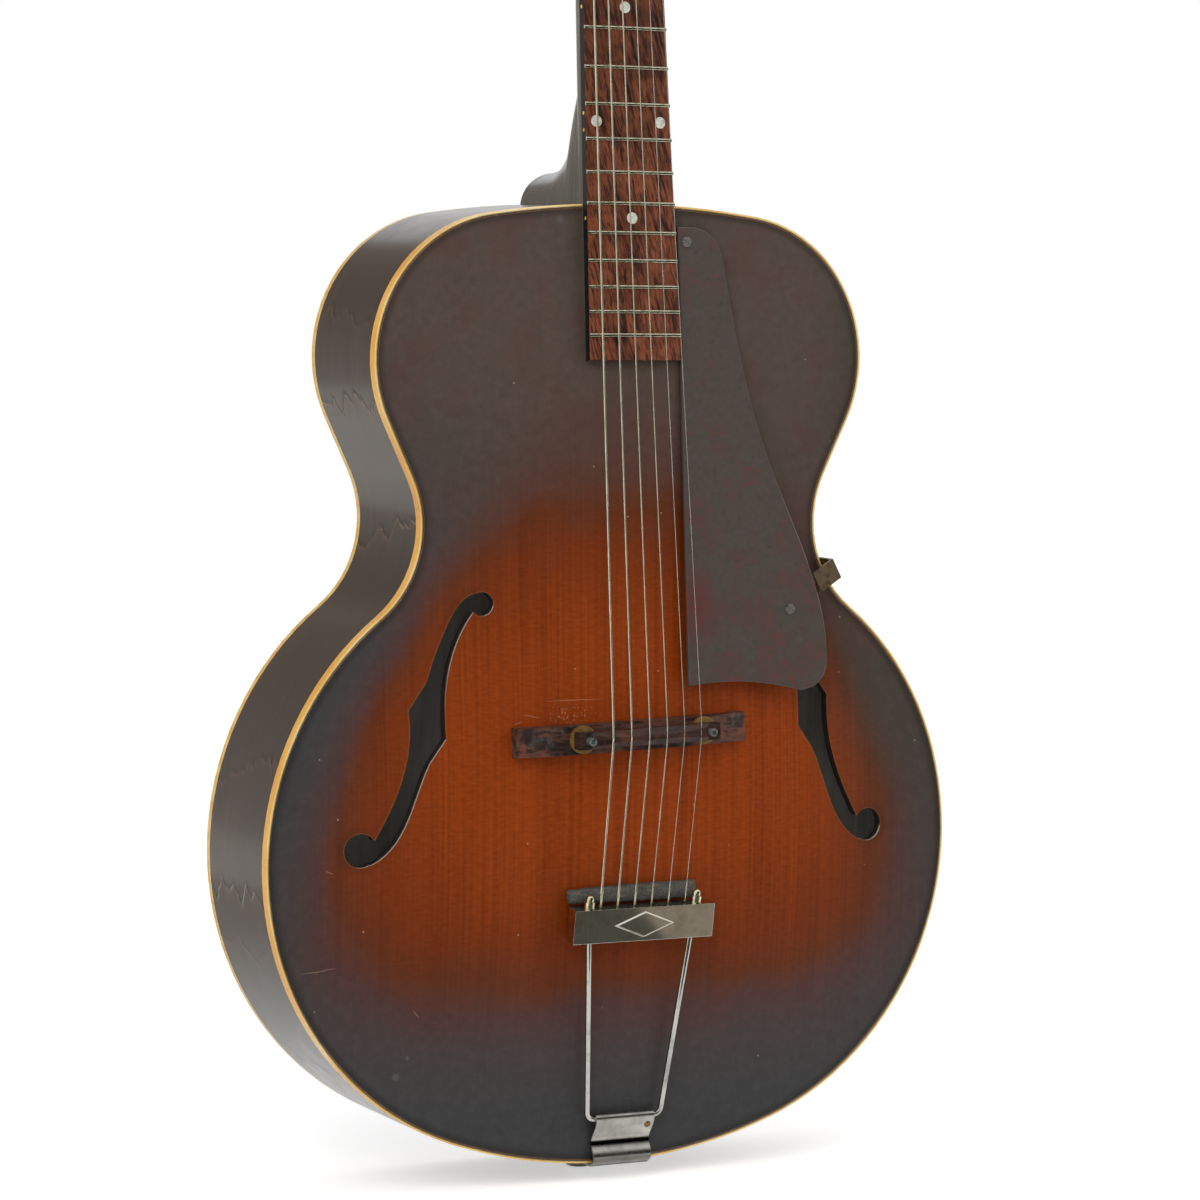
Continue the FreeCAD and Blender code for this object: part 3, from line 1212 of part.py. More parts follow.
def tailpiece_pieces(moving_slots):
    """Hinge plate, trapeze rod, crossbar and dome nuts."""
    plate, screw = hinge_plate()
    bar_top = BAR_BOTTOM + BAR_HEIGHT
    foot = TRAPEZE_FOOT
    head = TRAPEZE_HEAD / 2
    rod_top = bar_top + 3
    points = [Vector(-head, 0, rod_top), Vector(-foot, 0, 0), Vector(foot, 0, 0), Vector(head, 0, rod_top)]
    rod = tube(rounded_path(points, [TRAPEZE_BEND, TRAPEZE_BEND]), 2 * TRAPEZE_ROD_RADIUS)
    half = BAR_LENGTH / 2
    deep = BAR_DEPTH / 2
    bar = block(-half, half, -deep, deep, BAR_BOTTOM, bar_top)
    hollow = block(-half + BAR_SHEET, half - BAR_SHEET, -deep + BAR_SHEET, deep + 1, BAR_BOTTOM + BAR_SHEET,
                   bar_top - BAR_SHEET)
    bar = bar.cut(hollow)
    middle = BAR_BOTTOM + BAR_HEIGHT / 2
    outline = [(-DIAMOND_LENGTH / 2, 0), (0, DIAMOND_HEIGHT / 2), (DIAMOND_LENGTH / 2, 0),
               (0, -DIAMOND_HEIGHT / 2)]
    low = [Vector(x, -deep + 0.2, middle + z) for x, z in outline]
    high = [Vector(x * 0.86, -deep - DIAMOND_RISE, middle + z * 0.86) for x, z in outline]
    diamond = Part.makeLoft([Part.makePolygon(low + low[:1]), Part.makePolygon(high + high[:1])], True, True)
    bar = moved(bar.fuse(diamond).cut(rod), TAIL_FRAME).cut(moving_slots)
    domes = []
    for side in (-1, 1):
        x = side * (foot + (head - foot) * bar_top / rod_top)
        seat = Vector(x, 0, bar_top)
        collar = Part.makeCylinder(DOME_COLLAR_RADIUS, DOME_COLLAR_HEIGHT, seat, Vector(0, 0, 1))
        stem = Part.makeCylinder(DOME_RADIUS, DOME_HEIGHT - DOME_RADIUS, seat, Vector(0, 0, 1))
        ball = Part.makeSphere(DOME_RADIUS, Vector(x, 0, bar_top + DOME_HEIGHT - DOME_RADIUS))
        domes.append(collar.fuse([stem, ball]).cut(rod))
    return {
        "tailpiece_hinge": plate,
        "hinge_screw": screw,
        "trapeze_rod": moved(rod, TAIL_FRAME),
        "tailpiece_bar": one_solid(bar),
        "dome_nuts": moved(group(domes), TAIL_FRAME),
    }


# Pickguard, in its own tilted frame

GUARD_FRAME = Placement(Vector(0, FRONT - GUARD_RISE, GUARD_TOP), Rotation(Vector(1, 0, 0), -GUARD_TILT))


def guard_point(place):
    """A place on the guitar's front, as (x, z) on the tilted sheet."""
    return place[0], (place[1] - GUARD_TOP) / math.cos(math.radians(GUARD_TILT))


def guard_bracket():
    """The bent strip from under the guard to the body's side, its side screw's place and way out."""
    waist = outline_circles()[2]
    angle = math.atan2(waist[1] - BRACKET_LINE[1], waist[0] - BRACKET_LINE[0])
    outward = Vector(math.cos(angle), 0, math.sin(angle))
    tilt = math.tan(math.radians(GUARD_TILT))
    sheet_back = GUARD_THICK / math.cos(math.radians(GUARD_TILT))

    def under(distance):
        height = BRACKET_LINE[1] + distance * outward.z
        return FRONT - GUARD_RISE + sheet_back + (height - GUARD_TOP) * tilt

    wall = math.dist(waist, BRACKET_LINE) - WAIST_RADIUS + BRACKET_GAP
    leg_end = FRONT + BRACKET_LEG
    bend = under(BRACKET_FREE) + BRACKET_DROP
    s = BRACKET_SHEET
    tail_y = under(-BRACKET_TAIL)
    free_y = under(BRACKET_FREE)
    profile = [(-BRACKET_TAIL, tail_y), (BRACKET_FREE, free_y), (wall + s, bend), (wall + s, leg_end),
               (wall, leg_end), (wall, bend + s), (BRACKET_FREE, free_y + s), (-BRACKET_TAIL, tail_y + s)]
    across = Vector(-outward.z, outward.x * tilt, outward.x) * BRACKET_WIDTH
    corner = Vector(BRACKET_LINE[0], 0, BRACKET_LINE[1]) - across * 0.5
    corners = [corner + outward * distance + Vector(0, y, 0) for distance, y in profile]
    strip = Part.Face(Part.makePolygon(corners + corners[:1])).extrude(across)
    spare = Vector(BRACKET_LINE[0], 0, BRACKET_LINE[1]) + outward * BRACKET_HOLE_AT
    strip = strip.cut(disc_y(spare.x, spare.z, BRACKET_HOLE_RADIUS, FRONT - 50, FRONT))
    foot = Vector(BRACKET_LINE[0], leg_end - BRACKET_WIDTH / 2, BRACKET_LINE[1]) + outward * (wall + s)
    return strip, foot, outward


def guard_pieces():
    """Pickguard, bracket, spacer and screws."""
    neck_edge = max(half_width(0), half_width(-BOARD_PAST)) + GUARD_NECK_GAP
    top_left = (neck_edge, GUARD_TOP)
    low_left = (max(GUARD_BOTTOM[-1][0], neck_edge), GUARD_BOTTOM[-1][1])
    bottom = GUARD_BOTTOM[:-1] + [low_left]
    runs = [GUARD_CORNER, GUARD_EDGE, GUARD_ROUND, bottom]
    edges = [spline([guard_point(place) for place in run]) for run in runs]
    edges.append(line(guard_point(low_left), guard_point(top_left)))
    edges.append(line(guard_point(top_left), guard_point(GUARD_CORNER[0])))
    sheet = prism(edges, 0, GUARD_THICK)
    rim = [edge for edge in sheet.Edges if max(abs(vertex.Y) for vertex in edge.Vertexes) < 1e-6]
    sheet = sheet.makeChamfer(GUARD_BEVEL, rim)

    hold = guard_point(GUARD_SCREW)
    neck_hold = guard_point(GUARD_NECK_SCREW)
    under = GUARD_THICK
    bracket, foot, outward = guard_bracket()

    screws = []
    for (x, z), depth in ((hold, under + BRACKET_SHEET + 1.0), (neck_hold, under + GUARD_RISE + 3)):
        head = disc_y(x, z, GUARD_HEAD_RADIUS, -0.9, 0)
        slot = block(x - 4, x + 4, -2, -0.5, z - 0.3, z + 0.3)
        slot.rotate(Vector(x, 0, z), Vector(0, 1, 0), 35)
        screws.append(head.cut(slot).fuse(disc_y(x, z, GUARD_SCREW_RADIUS, 0, depth)))
    spacer = disc_y(neck_hold[0], neck_hold[1], SPACER_RADIUS, under, under + GUARD_RISE + 4)
    spacer = moved(spacer, GUARD_FRAME).cut(behind_front())
    spacer = spacer.cut([moved(screw, GUARD_FRAME) for screw in screws])
    screws = [moved(screw, GUARD_FRAME) for screw in screws]
    side_head = Part.makeCylinder(GUARD_HEAD_RADIUS, 0.8, foot + outward * 0.8, outward * -1)
    side_shank = Part.makeCylinder(GUARD_SCREW_RADIUS, SIDE_SCREW_LENGTH, foot + outward * 0.8, outward * -1)
    screws.append(side_head.fuse(side_shank))
    return {
        "pickguard": moved(sheet, GUARD_FRAME).cut(screws),
        "pickguard_bracket": bracket.cut(screws),
        "pickguard_spacer": one_solid(spacer),
        "pickguard_screws": group(screws),
    }


def damper_pad():
    """The foam pad on the top, under the strings and above the crossbar."""
    half = PAD_LENGTH / 2
    sections = []
    for share in (-1.0, -0.85, 0.0, 0.85, 1.0):
        crown = PAD_CROWN * (1 - abs(share)) - (1.2 if abs(share) == 1.0 else 0.0)
        y = FRONT - PAD_RISE - crown
        x = PAD_SHIFT + share * half
        top = PAD_TOP - PAD_SAG * (share - 0.5) ** 2
        low = Vector(x, FRONT, PAD_BOTTOM)
        high = Vector(x, FRONT, top)
        face = [Vector(x, y + 2.0, top), Vector(x, y, (top + PAD_BOTTOM) / 2), Vector(x, y + 2.5, PAD_BOTTOM)]
        cap = Part.Arc(*face).toShape()
        sections.append(Part.Wire([Part.makeLine(low, high), Part.makeLine(high, face[0]), cap,
                                   Part.makeLine(face[2], low)]))
    pad = Part.makeLoft(sections, True, True)
    under = behind_front()
    under.translate(Vector(0, -PAD_GAP, 0))
    return one_solid(pad.cut(under))


def main():
    """Build every piece and write one file for each."""
    pieces = body_pieces()
    pieces.update(neck_pieces())
    cover_screws = pieces["headstock_screws"]
    pieces.update(tuner_pieces())
    pieces["headstock_screws"] = group([cover_screws, pieces["headstock_screws"]])
    strings, nut_slots, moving_slots = string_pieces()
    pieces["nut"] = pieces["nut"].cut(nut_slots)
    pieces.update(strings)
    pieces.update(bridge_pieces(moving_slots))
    pieces.update(tailpiece_pieces(moving_slots))
    pieces.update(guard_pieces())
    pieces["damper_pad"] = damper_pad()
    screws = group([pieces.pop("pickguard_screws"), pieces.pop("hinge_screw")])
    for name in ("top_plate", "rib_treble", "linings", "tail_block"):
        pieces[name] = pieces[name].cut(screws)
    for name in ("neck", "headstock_veneer"):
        pieces[name] = pieces[name].cut(pieces["headstock_screws"])
    pieces["body_screws"] = screws
    os.makedirs("parts", exist_ok=True)
    for name, shape in pieces.items():
        shape.exportStep("parts/%s.step" % name)
    print("%d pieces" % len(pieces))


if __name__ == "__main__":
    main()
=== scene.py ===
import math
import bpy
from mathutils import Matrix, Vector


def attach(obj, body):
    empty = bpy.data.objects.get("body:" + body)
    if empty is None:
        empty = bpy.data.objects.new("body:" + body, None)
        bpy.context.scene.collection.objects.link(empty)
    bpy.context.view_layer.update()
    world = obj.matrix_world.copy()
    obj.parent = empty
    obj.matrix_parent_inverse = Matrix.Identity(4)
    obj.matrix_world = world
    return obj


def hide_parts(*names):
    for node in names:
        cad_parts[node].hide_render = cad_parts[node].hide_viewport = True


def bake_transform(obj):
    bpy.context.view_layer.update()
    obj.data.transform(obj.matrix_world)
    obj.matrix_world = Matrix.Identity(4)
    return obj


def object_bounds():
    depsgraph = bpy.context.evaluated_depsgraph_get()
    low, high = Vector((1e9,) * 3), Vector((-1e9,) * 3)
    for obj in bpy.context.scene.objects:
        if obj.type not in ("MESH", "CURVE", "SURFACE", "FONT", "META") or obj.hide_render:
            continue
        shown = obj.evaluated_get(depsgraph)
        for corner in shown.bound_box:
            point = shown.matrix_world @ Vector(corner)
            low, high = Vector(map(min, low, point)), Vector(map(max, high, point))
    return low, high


bl_info = {
    "name": "Archtop guitar",
    "version": (1, 0, 0),
    "blender": (4, 5, 0),
    "location": "View3D > Sidebar > Guitar",
    "description": "Finishes, strings, damper pad and studio for a hollow archtop guitar",
    "category": "Object",
}

import bmesh
import bpy
from bpy.props import FloatProperty, FloatVectorProperty, IntProperty, PointerProperty
from mathutils import Matrix, Vector, noise

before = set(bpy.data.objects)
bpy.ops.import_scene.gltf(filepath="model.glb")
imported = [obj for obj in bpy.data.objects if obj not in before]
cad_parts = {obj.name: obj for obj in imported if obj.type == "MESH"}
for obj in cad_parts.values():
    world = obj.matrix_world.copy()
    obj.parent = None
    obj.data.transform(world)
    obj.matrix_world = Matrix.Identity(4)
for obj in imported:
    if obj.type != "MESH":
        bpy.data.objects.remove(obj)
CAD_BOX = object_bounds()
MM = 0.001

# Kinds of shader node, some of them with their operation
MATH, RANGE, RAMP, MIX = "ShaderNodeMath", "ShaderNodeMapRange", "ShaderNodeValToRGB", "ShaderNodeMix"
NOISE, CELLS, MAPPING = "ShaderNodeTexNoise", "ShaderNodeTexVoronoi", "ShaderNodeMapping"
SPLIT, VECTOR, BUMP = "ShaderNodeSeparateXYZ", "ShaderNodeVectorMath", "ShaderNodeBump"
COORDS, SURFACE, ROUNDED = "ShaderNodeTexCoord", "ShaderNodeNewGeometry", "ShaderNodeBevel"
TIMES, SCALED, PLUS, MINUS = [MATH + " " + work for work in ("MULTIPLY", "MULTIPLY_ADD", "ADD", "SUBTRACT")]
POSITIVE, BELOW, ABOVE, LARGER = [
    MATH + " " + work for work in ("ABSOLUTE", "LESS_THAN", "GREATER_THAN", "MAXIMUM")]
TINT, DOT, AWAY = [VECTOR + " " + work for work in ("MULTIPLY", "DOT_PRODUCT", "SUBTRACT")]


def linear(code):
    """An sRGB hex colour as linear red, green, blue and alpha."""
    parts = [int(code[i:i + 2], 16) / 255 for i in (1, 3, 5)]
    return tuple(p / 12.92 if p <= 0.04045 else ((p + 0.055) / 1.055) ** 2.4 for p in parts) + (1.0,)


def per(size):
    """Pattern scale for a feature of this size in millimetres."""
    return 1 / (size * MM)


def add(tree, kind, *values, stops=None, out=0, **settings):
    """Add a node with its settings and a ramp's stops; give one output. Links and values go to its sockets
    in order, or by name where they come as a dict. A colour is its hex code or linear numbers."""
    kind, _, operation = kind.partition(" ")
    made = tree.nodes.new(kind)
    if operation:
        made.operation = operation
    for name, value in settings.items():
        setattr(made, name, value)
    sockets = values[0] if values and isinstance(values[0], dict) else dict(enumerate(values))
    for socket, value in sockets.items():
        if isinstance(value, bpy.types.NodeSocket):
            tree.links.new(value, made.inputs[socket])
        else:
            made.inputs[socket].default_value = linear(value) if isinstance(value, str) else value
    if stops:
        elements = made.color_ramp.elements
        while len(elements) < len(stops):
            elements.new(1.0)
        for element, (place, code) in zip(elements, stops):
            element.position = place
            element.color = linear(code) if isinstance(code, str) else code
    return made.outputs[out]


def start_material(name):
    """A new material with its tree and the object's coordinates."""
    material = bpy.data.materials.new(name)
    material.use_nodes = True
    tree = material.node_tree
    return material, tree, add(tree, COORDS, out=3)


def painted(tree, colour, *layers):
    """Lay colours over a first one in turn, each by its share of 0 to 1."""
    for share, over in layers:
        colour = add(tree, MIX, {0: share, 6: colour, 7: over}, out=2, data_type="RGBA")
    return colour


def drawn_out(tree, place, sizes, shift=(0, 0, 0), **settings):
    """Noise drawn out to these sizes across, through and up the guitar, in millimetres."""
    place = add(tree, MAPPING, {"Vector": place, "Location": shift, "Scale": [per(size) for size in sizes]})
    return add(tree, NOISE, {"Vector": place, "Scale": 1.0, **settings})


def distance_from(tree, place, middle, radii):
    """Distance from a middle, which is 1 at the ellipsoid with these radii."""
    place = add(tree, MAPPING, {"Vector": place, "Location": middle, "Scale": radii}, vector_type="TEXTURE")
    return add(tree, VECTOR, place, out=1, operation="LENGTH")


def facing(tree, axis):
    """How far the surface faces to the treble side (0), backwards (1) or up (2), from -1 to 1."""
    return add(tree, SPLIT, add(tree, SURFACE, out=1), out=axis)


def coat(material, colour, gloss, relief=None, edge=0.0, specular=0.5, metallic=0.0):
    """Finish a material's shader and give the material: its colour, its roughness as a pattern, a factor
    and a start, its relief as a height, a strength and a depth in millimetres, or else the rounding of its
    edges in millimetres."""
    tree = material.node_tree
    inputs = tree.nodes["Principled BSDF"].inputs
    tree.links.new(colour, inputs["Base Color"])
    pattern, factor, start = gloss
    rough = add(tree, SCALED, pattern, factor, start)
    tree.links.new(rough, inputs["Roughness"])
    if relief:
        height, strength, depth = relief
        bump = add(tree, BUMP, {"Height": height, "Strength": strength, "Distance": depth * MM})
        tree.links.new(bump, inputs["Normal"])
    elif edge:
        rounded = add(tree, ROUNDED, {"Radius": edge * MM}, samples=4)
        tree.links.new(rounded, inputs["Normal"])
    inputs["Specular IOR Level"].default_value = specular
    inputs["Metallic"].default_value = metallic
    return material


def dress(material, *names):
    """Give CAD nodes a material."""
    for name in names:
        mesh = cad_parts[name].data
        mesh.materials.clear()
        mesh.materials.append(material)


def piece(name, builder, material):
    """A finished bmesh as a new object at the origin, with its material."""
    mesh = bpy.data.meshes.new(name)
    builder.to_mesh(mesh)
    builder.free()
    mesh.materials.append(material)
    made = bpy.data.objects.new(name, mesh)
    bpy.context.scene.collection.objects.link(made)
    return made


def colour_setting(name, description, code):
    """A colour that a user may change."""
    return FloatVectorProperty(name=name, description=description, subtype="COLOR", size=4, min=0, max=1,
                               default=linear(code))


def length_setting(name, description, size):
    """A length that a user may change, given here in millimetres."""
    return FloatProperty(name=name, description=description, unit="LENGTH", default=size * MM)


class GuitarFinish(bpy.types.PropertyGroup):
    burst_centre: colour_setting("Burst centre", "Amber in the middle of the sunburst", "#8c390a")
    burst_edge: colour_setting("Burst edge", "Near-black lacquer at the tail end", "#3d3d3e")
    burst_shoulder: colour_setting("Burst shoulder", "Dark brown lacquer at the neck end", "#52463f")
    burst_height: length_setting("Burst height", "Height of the middle of the sunburst above the tail", 230)
    burst_across: length_setting("Burst half width", "How far the amber reaches across the top", 163)
    burst_along: length_setting("Burst half length", "How far the amber reaches along the top", 150)
    grain: length_setting("Grain width", "Distance between the grain lines of the spruce", 1.6)
    binding: colour_setting("Binding", "Aged ivory celluloid of the binding", "#efb04c")


class GuitarStrings(bpy.types.PropertyGroup):
    winding: length_setting("Winding pitch", "Distance between turns of the wrap wire, drawn coarse", 0.6)
    sides: IntProperty(name="Sides", description="Sides of each string's tube", min=6, max=24, default=10)


class GuitarStage(bpy.types.PropertyGroup):
    key: FloatProperty(
        name="Key light", description="Power of the large soft light at the left", unit="POWER",
        default=26.0)
    fill: FloatProperty(
        name="Fill light", description="Power of the soft light at the right", unit="POWER",
        default=12.0)
    sky: FloatProperty(
        name="Room light", description="Strength of the white room on matt surfaces", default=0.62)


# Body

def bare_wood(tree, place):
    """Colour of unfinished wood inside the body: pale, with soft grain up the guitar."""
    grain = drawn_out(tree, place, (3.3, 3.3, 100))
    return add(tree, RAMP, grain, stops=[(0.3, "#d8d4cc"), (0.55, "#e6e2dc"), (0.8, "#f0ede8")])


# Old scratches in the top: middle across and up, half length in millimetres and tilt in degrees
SCRATCHES = ((-33.4, 254.7, 17.4, 0.0), (-58.0, 246.6, 5.0, 12.0), (-66.5, 243.0, 3.0, -20.0),
             (-174.4, 115.4, 10.6, -7.0), (-169.3, 167.4, 2.6, 24.0), (-120.0, 90.0, 3.0, 50.0))
SCRATCH_WIDTH = 0.56
# How far a scratch or spot strays from its line
WANDER = 1.4
# Dull spots in the lacquer: middle across and up, and radius
DULL_SPOTS = ((-129.8, 56.3, 2.6), (-124.0, 66.2, 1.5), (-39.1, 510.1, 2.6))


def sunburst_spruce(finish):
    """Spruce under tinted lacquer: fine upright grain, an amber middle, an edge that is near black at
    the tail and dark brown at the neck, a soft gloss, specks of wear and a few old scratches."""
    material, tree, place = start_material("Sunburst spruce")
    x, _, z = add(tree, SPLIT, place).node.outputs
    up = add(tree, MINUS, z, finish.burst_height)
    taper = add(tree, SCALED, up, -0.42, finish.burst_across)
    side = add(tree, POSITIVE, x)
    across = add(tree, MATH, side, taper, operation="DIVIDE")
    across = add(tree, MATH, across, 4.0, operation="POWER")
    along = add(tree, MATH, up, finish.burst_along, operation="DIVIDE")
    along = add(tree, TIMES, along, along)
    reach = add(tree, PLUS, across, along)
    reach = add(tree, MATH, reach, operation="SQRT")
    cloud = add(tree, NOISE, {"Vector": place, "Scale": per(45), "Detail": 3.0})
    reach = add(tree, SCALED, cloud, 0.14, reach)
    share = add(tree, RANGE, reach, 0.07, 1.67)
    amber = [(0.0, finish.burst_centre), (0.22, "#88380b"), (0.344, "#7e350d"), (0.45, "#713011"),
             (0.53, "#613019")]
    tail = add(tree, RAMP, share, stops=amber + [
        (0.60, "#513733"), (0.69, "#463e3d"), (0.80, "#403f3f"), (1.0, finish.burst_edge)])
    neck = add(tree, RAMP, share, stops=amber + [
        (0.60, "#573a2f"), (0.69, "#534038"), (0.82, "#52443d"), (1.0, finish.burst_shoulder)])
    warm = add(tree, SCALED, x, 0.5, z)
    warm = add(tree, RANGE, warm, 0.20, 0.40, interpolation_type="SMOOTHSTEP")
    shoulder = add(tree, RANGE, x, 0.105, 0.155, 0.0, 0.6, interpolation_type="SMOOTHSTEP")
    shoulder = add(tree, TIMES, shoulder, warm)
    burst = painted(tree, tail, (warm, neck), (shoulder, "#3a3b33"))

    # Grain lines run up the plate, wider bands of colour lie over them, and silk crosses them
    lines = drawn_out(tree, place, (finish.grain / MM, 17, 200))
    bands = drawn_out(tree, place, (15, 50, 240), Detail=1.0)
    silk = drawn_out(tree, place, (5, 50, 1.5))
    tone = add(tree, SCALED, lines, 0.7, 0.08)
    tone = add(tree, SCALED, bands, 0.54, tone)
    tone = add(tree, SCALED, silk, 0.6, tone)
    # The dark lacquer hides the grain and is mottled instead
    mottle = add(tree, NOISE, {"Vector": place, "Scale": per(5), "Detail": 4.0, "Roughness": 0.65})
    mottle = add(tree, SCALED, mottle, 0.55, 0.72)
    hidden = add(tree, RANGE, share, 0.36, 0.66, 0.0, 0.88)
    tone = add(tree, MIX, {0: hidden, 2: tone, 3: mottle})
    wood = add(tree, TINT, burst, tone)
    blotch = add(tree, NOISE, {"Vector": place, "Scale": per(26), "Detail": 3.0})
    blotch = add(tree, RANGE, blotch, 0.48, 0.66, 0.0, 0.5)
    blotch = add(tree, TIMES, blotch, hidden)
    blotch = add(tree, TIMES, blotch, warm)
    wood = painted(tree, wood, (blotch, "#563a36"))

    # Specks of bare wood all over, thicker in a scuffed patch above the bridge
    specks = add(tree, CELLS, {"Vector": place, "Scale": per(12)})
    specks = add(tree, BELOW, specks, 0.04)
    chance = add(tree, NOISE, {"Vector": place, "Scale": per(24)})
    chance = add(tree, ABOVE, chance, 0.56)
    worn = add(tree, TIMES, specks, chance)
    near = distance_from(tree, place, (-0.036, -0.056, 0.2475), (0.022, 0.03, 0.0065))
    near = add(tree, RANGE, near, 1.0, 0.3)
    scuff = add(tree, NOISE, {"Vector": place, "Scale": per(1.3)})
    scuff = add(tree, RANGE, scuff, 0.60, 0.68)
    scuff = add(tree, TIMES, scuff, near)
    worn = add(tree, LARGER, worn, scuff)
    wander = add(tree, NOISE, {"Vector": place, "Scale": per(7), "Detail": 3.0}, out=1)
    wander = add(tree, VECTOR, wander, (WANDER * MM,) * 3, place, operation="MULTIPLY_ADD")
    drift = Vector((WANDER / 2 * MM, 0, WANDER / 2 * MM))
    for middle, height, half, tilt in SCRATCHES:
        mark = add(tree, MAPPING, {
            "Vector": wander, "Location": Vector((middle, 0, height)) * MM + drift,
            "Rotation": (0, math.radians(tilt), 0),
            "Scale": (half * MM, 1, SCRATCH_WIDTH / 2 * MM)}, vector_type="TEXTURE")
        mark = add(tree, VECTOR, mark, operation="ABSOLUTE")
        sides = add(tree, SPLIT, mark).node.outputs
        mark = add(tree, LARGER, sides[0], sides[2])
        mark = add(tree, RANGE, mark, 1.0, 0.4, 0.0, 0.6)
        worn = add(tree, LARGER, worn, mark)
    worn = add(tree, TIMES, worn, 0.5)
    wood = painted(tree, wood, (worn, "#c9a184"))
    for middle, height, radius in DULL_SPOTS:
        spot = Vector((middle, -43, height)) * MM + drift
        spot = distance_from(tree, wander, spot, (radius * MM, 1, radius * MM))
        spot = add(tree, RANGE, spot, 1.0, 0.5, 0.0, 0.35)
        wood = painted(tree, wood, (spot, "#6a6a68"))

    # Painted shade darkens the dark lacquer in the hollow beside the binding
    normal = add(tree, SURFACE, out=1)
    # Painted shade: darker where the surface curves into the hollow by the binding
    hollow = add(tree, ROUNDED, {"Radius": 9 * MM}, samples=6)
    hollow = add(tree, DOT, hollow, normal, out=1)
    hollow = add(tree, RANGE, hollow, 0.998, 0.90, 0.0, 0.7)
    hollow = add(tree, TIMES, hollow, hidden)
    wood = painted(tree, wood, (hollow, "#211c1a"))

    # The sound holes' walls are dark with a rubbed edge and painted pale where they face up, as light from
    # above; the inside of the plate is bare
    backward = facing(tree, 1)
    wall = add(tree, BELOW, add(tree, POSITIVE, backward), 0.4)
    edge = add(tree, ROUNDED, {"Radius": 0.8 * MM}, samples=4)
    edge = add(tree, DOT, edge, normal, out=1)
    edge = add(tree, RANGE, edge, 0.97, 0.86, 0.0, 0.55)
    inner = add(tree, RANGE, side, 0.172, 0.170)
    edge = add(tree, TIMES, edge, inner)
    # Painted light: the walls' front part turns pale where it faces up
    painted_wall_light = add(tree, SPLIT, add(tree, ROUNDED, {"Radius": 2.4 * MM}, samples=6), out=1)
    painted_wall_light = add(tree, RANGE, painted_wall_light, -0.10, -0.35)
    lit_from_above = add(tree, RANGE, facing(tree, 2), 0.02, 0.3)
    painted_wall_light = add(tree, TIMES, painted_wall_light, lit_from_above)
    painted_wall_light = add(tree, TIMES, painted_wall_light, wall)
    inside = add(tree, ABOVE, backward, 0.3)
    wood = painted(tree, wood, (edge, "#b5763f"), (wall, "#2e2523"), (painted_wall_light, "#e6e0d6"),
                   (inside, bare_wood(tree, place)))
    return coat(material, wood, (cloud, 0.22, 0.24), (lines, 0.06, 0.4), specular=0.1)


# A point inside the body that all of the rim faces away from
BODY_MIDDLE = (0, 0, 0.26)
# Figure lines across the rim: height above the tail, slope from front to back, and how strongly each shows
RIM_FIGURE = ((456, 0.03, 0.35), (415, 0.03, 0.9), (345, -0.32, 0.7), (221, -0.15, 0.45),
              (154, 0.09, 1.0), (128, 0.05, 0.4), (60, 0.10, 0.6))


def stained_maple():
    """Rim veneer stained dark brown under high-gloss lacquer, with ragged figure lines across it."""
    material, tree, place = start_material("Stained maple rim")
    x, y, z = add(tree, SPLIT, place).node.outputs
    streak = drawn_out(tree, place, (60, 5, 60), Detail=4.0)
    colour = add(tree, RAMP, streak, stops=[(0.3, "#2c231d"), (0.5, "#32271f"), (0.7, "#392d25")])
    relief = None
    for height, slope, shown in RIM_FIGURE:
        jag = drawn_out(tree, place, (400, 17, 400), (0, height, 0))
        jag = add(tree, RANGE, jag, 0.2, 0.8, -0.012, 0.012)
        line = add(tree, SCALED, y, slope, height * MM)
        line = add(tree, PLUS, line, jag)
        line = add(tree, MINUS, z, line)
        halo = add(tree, RANGE, line, -8 * MM, 0.0, 0.0, 0.45 * shown, interpolation_type="SMOOTHSTEP")
        under = add(tree, BELOW, line, 0.0)
        halo = add(tree, TIMES, halo, under)
        colour = painted(tree, colour, (halo, "#6b4a1f"))
        # The lacquer swells under the line and falls away at it, so the line mirrors something darker
        ripple = add(tree, RANGE, line, -1.8 * MM, 0.2 * MM, 1.0, 0.0)
        swell = add(tree, RANGE, line, -2.6 * MM, -1.8 * MM, 0.0, shown)
        ripple = add(tree, TIMES, ripple, swell)
        relief = add(tree, PLUS, ripple, relief) if relief else ripple
        line = add(tree, POSITIVE, line)
        line = add(tree, RANGE, line, 2.4 * MM, 0.6 * MM, 0.0, shown)
        colour = painted(tree, colour, (line, "#0a0402"))

    # The inside of the rim is bare wood
    outward = add(tree, "ShaderNodeCombineXYZ", {0: x, 2: z})
    outward = add(tree, AWAY, outward, BODY_MIDDLE)
    outward = add(tree, DOT, outward, add(tree, SURFACE, out=1), out=1)
    inside = add(tree, BELOW, outward, 0.0)
    colour = painted(tree, colour, (inside, bare_wood(tree, place)))
    smear = add(tree, NOISE, {"Vector": place, "Scale": per(17), "Detail": 4.0})
    return coat(material, colour, (smear, 0.16, 0.13), (relief, 0.55, 0.4), specular=0.42)


def figured_back():
    """Carved maple back, tobacco brown in the middle and dark at the edge, with crossing flame."""
    material, tree, place = start_material("Flamed maple back")
    reach = distance_from(tree, place, (0, 0, 0.235), (0.20, 100, 0.26))
    flame = drawn_out(tree, place, (70, 70, 7.7), Distortion=0.6)
    reach = add(tree, SCALED, flame, 0.42, reach)
    colour = add(tree, RAMP, reach, stops=[
        (0.20, "#7a3d18"), (0.50, "#5a2c11"), (0.86, "#371e14"), (1.0, "#271b16")])
    inside = add(tree, BELOW, facing(tree, 1), -0.3)
    colour = painted(tree, colour, (inside, bare_wood(tree, place)))
    smear = add(tree, NOISE, {"Vector": place, "Scale": per(20), "Detail": 3.0})
    return coat(material, colour, (smear, 0.18, 0.10), (flame, 0.04, 0.8), specular=0.3)


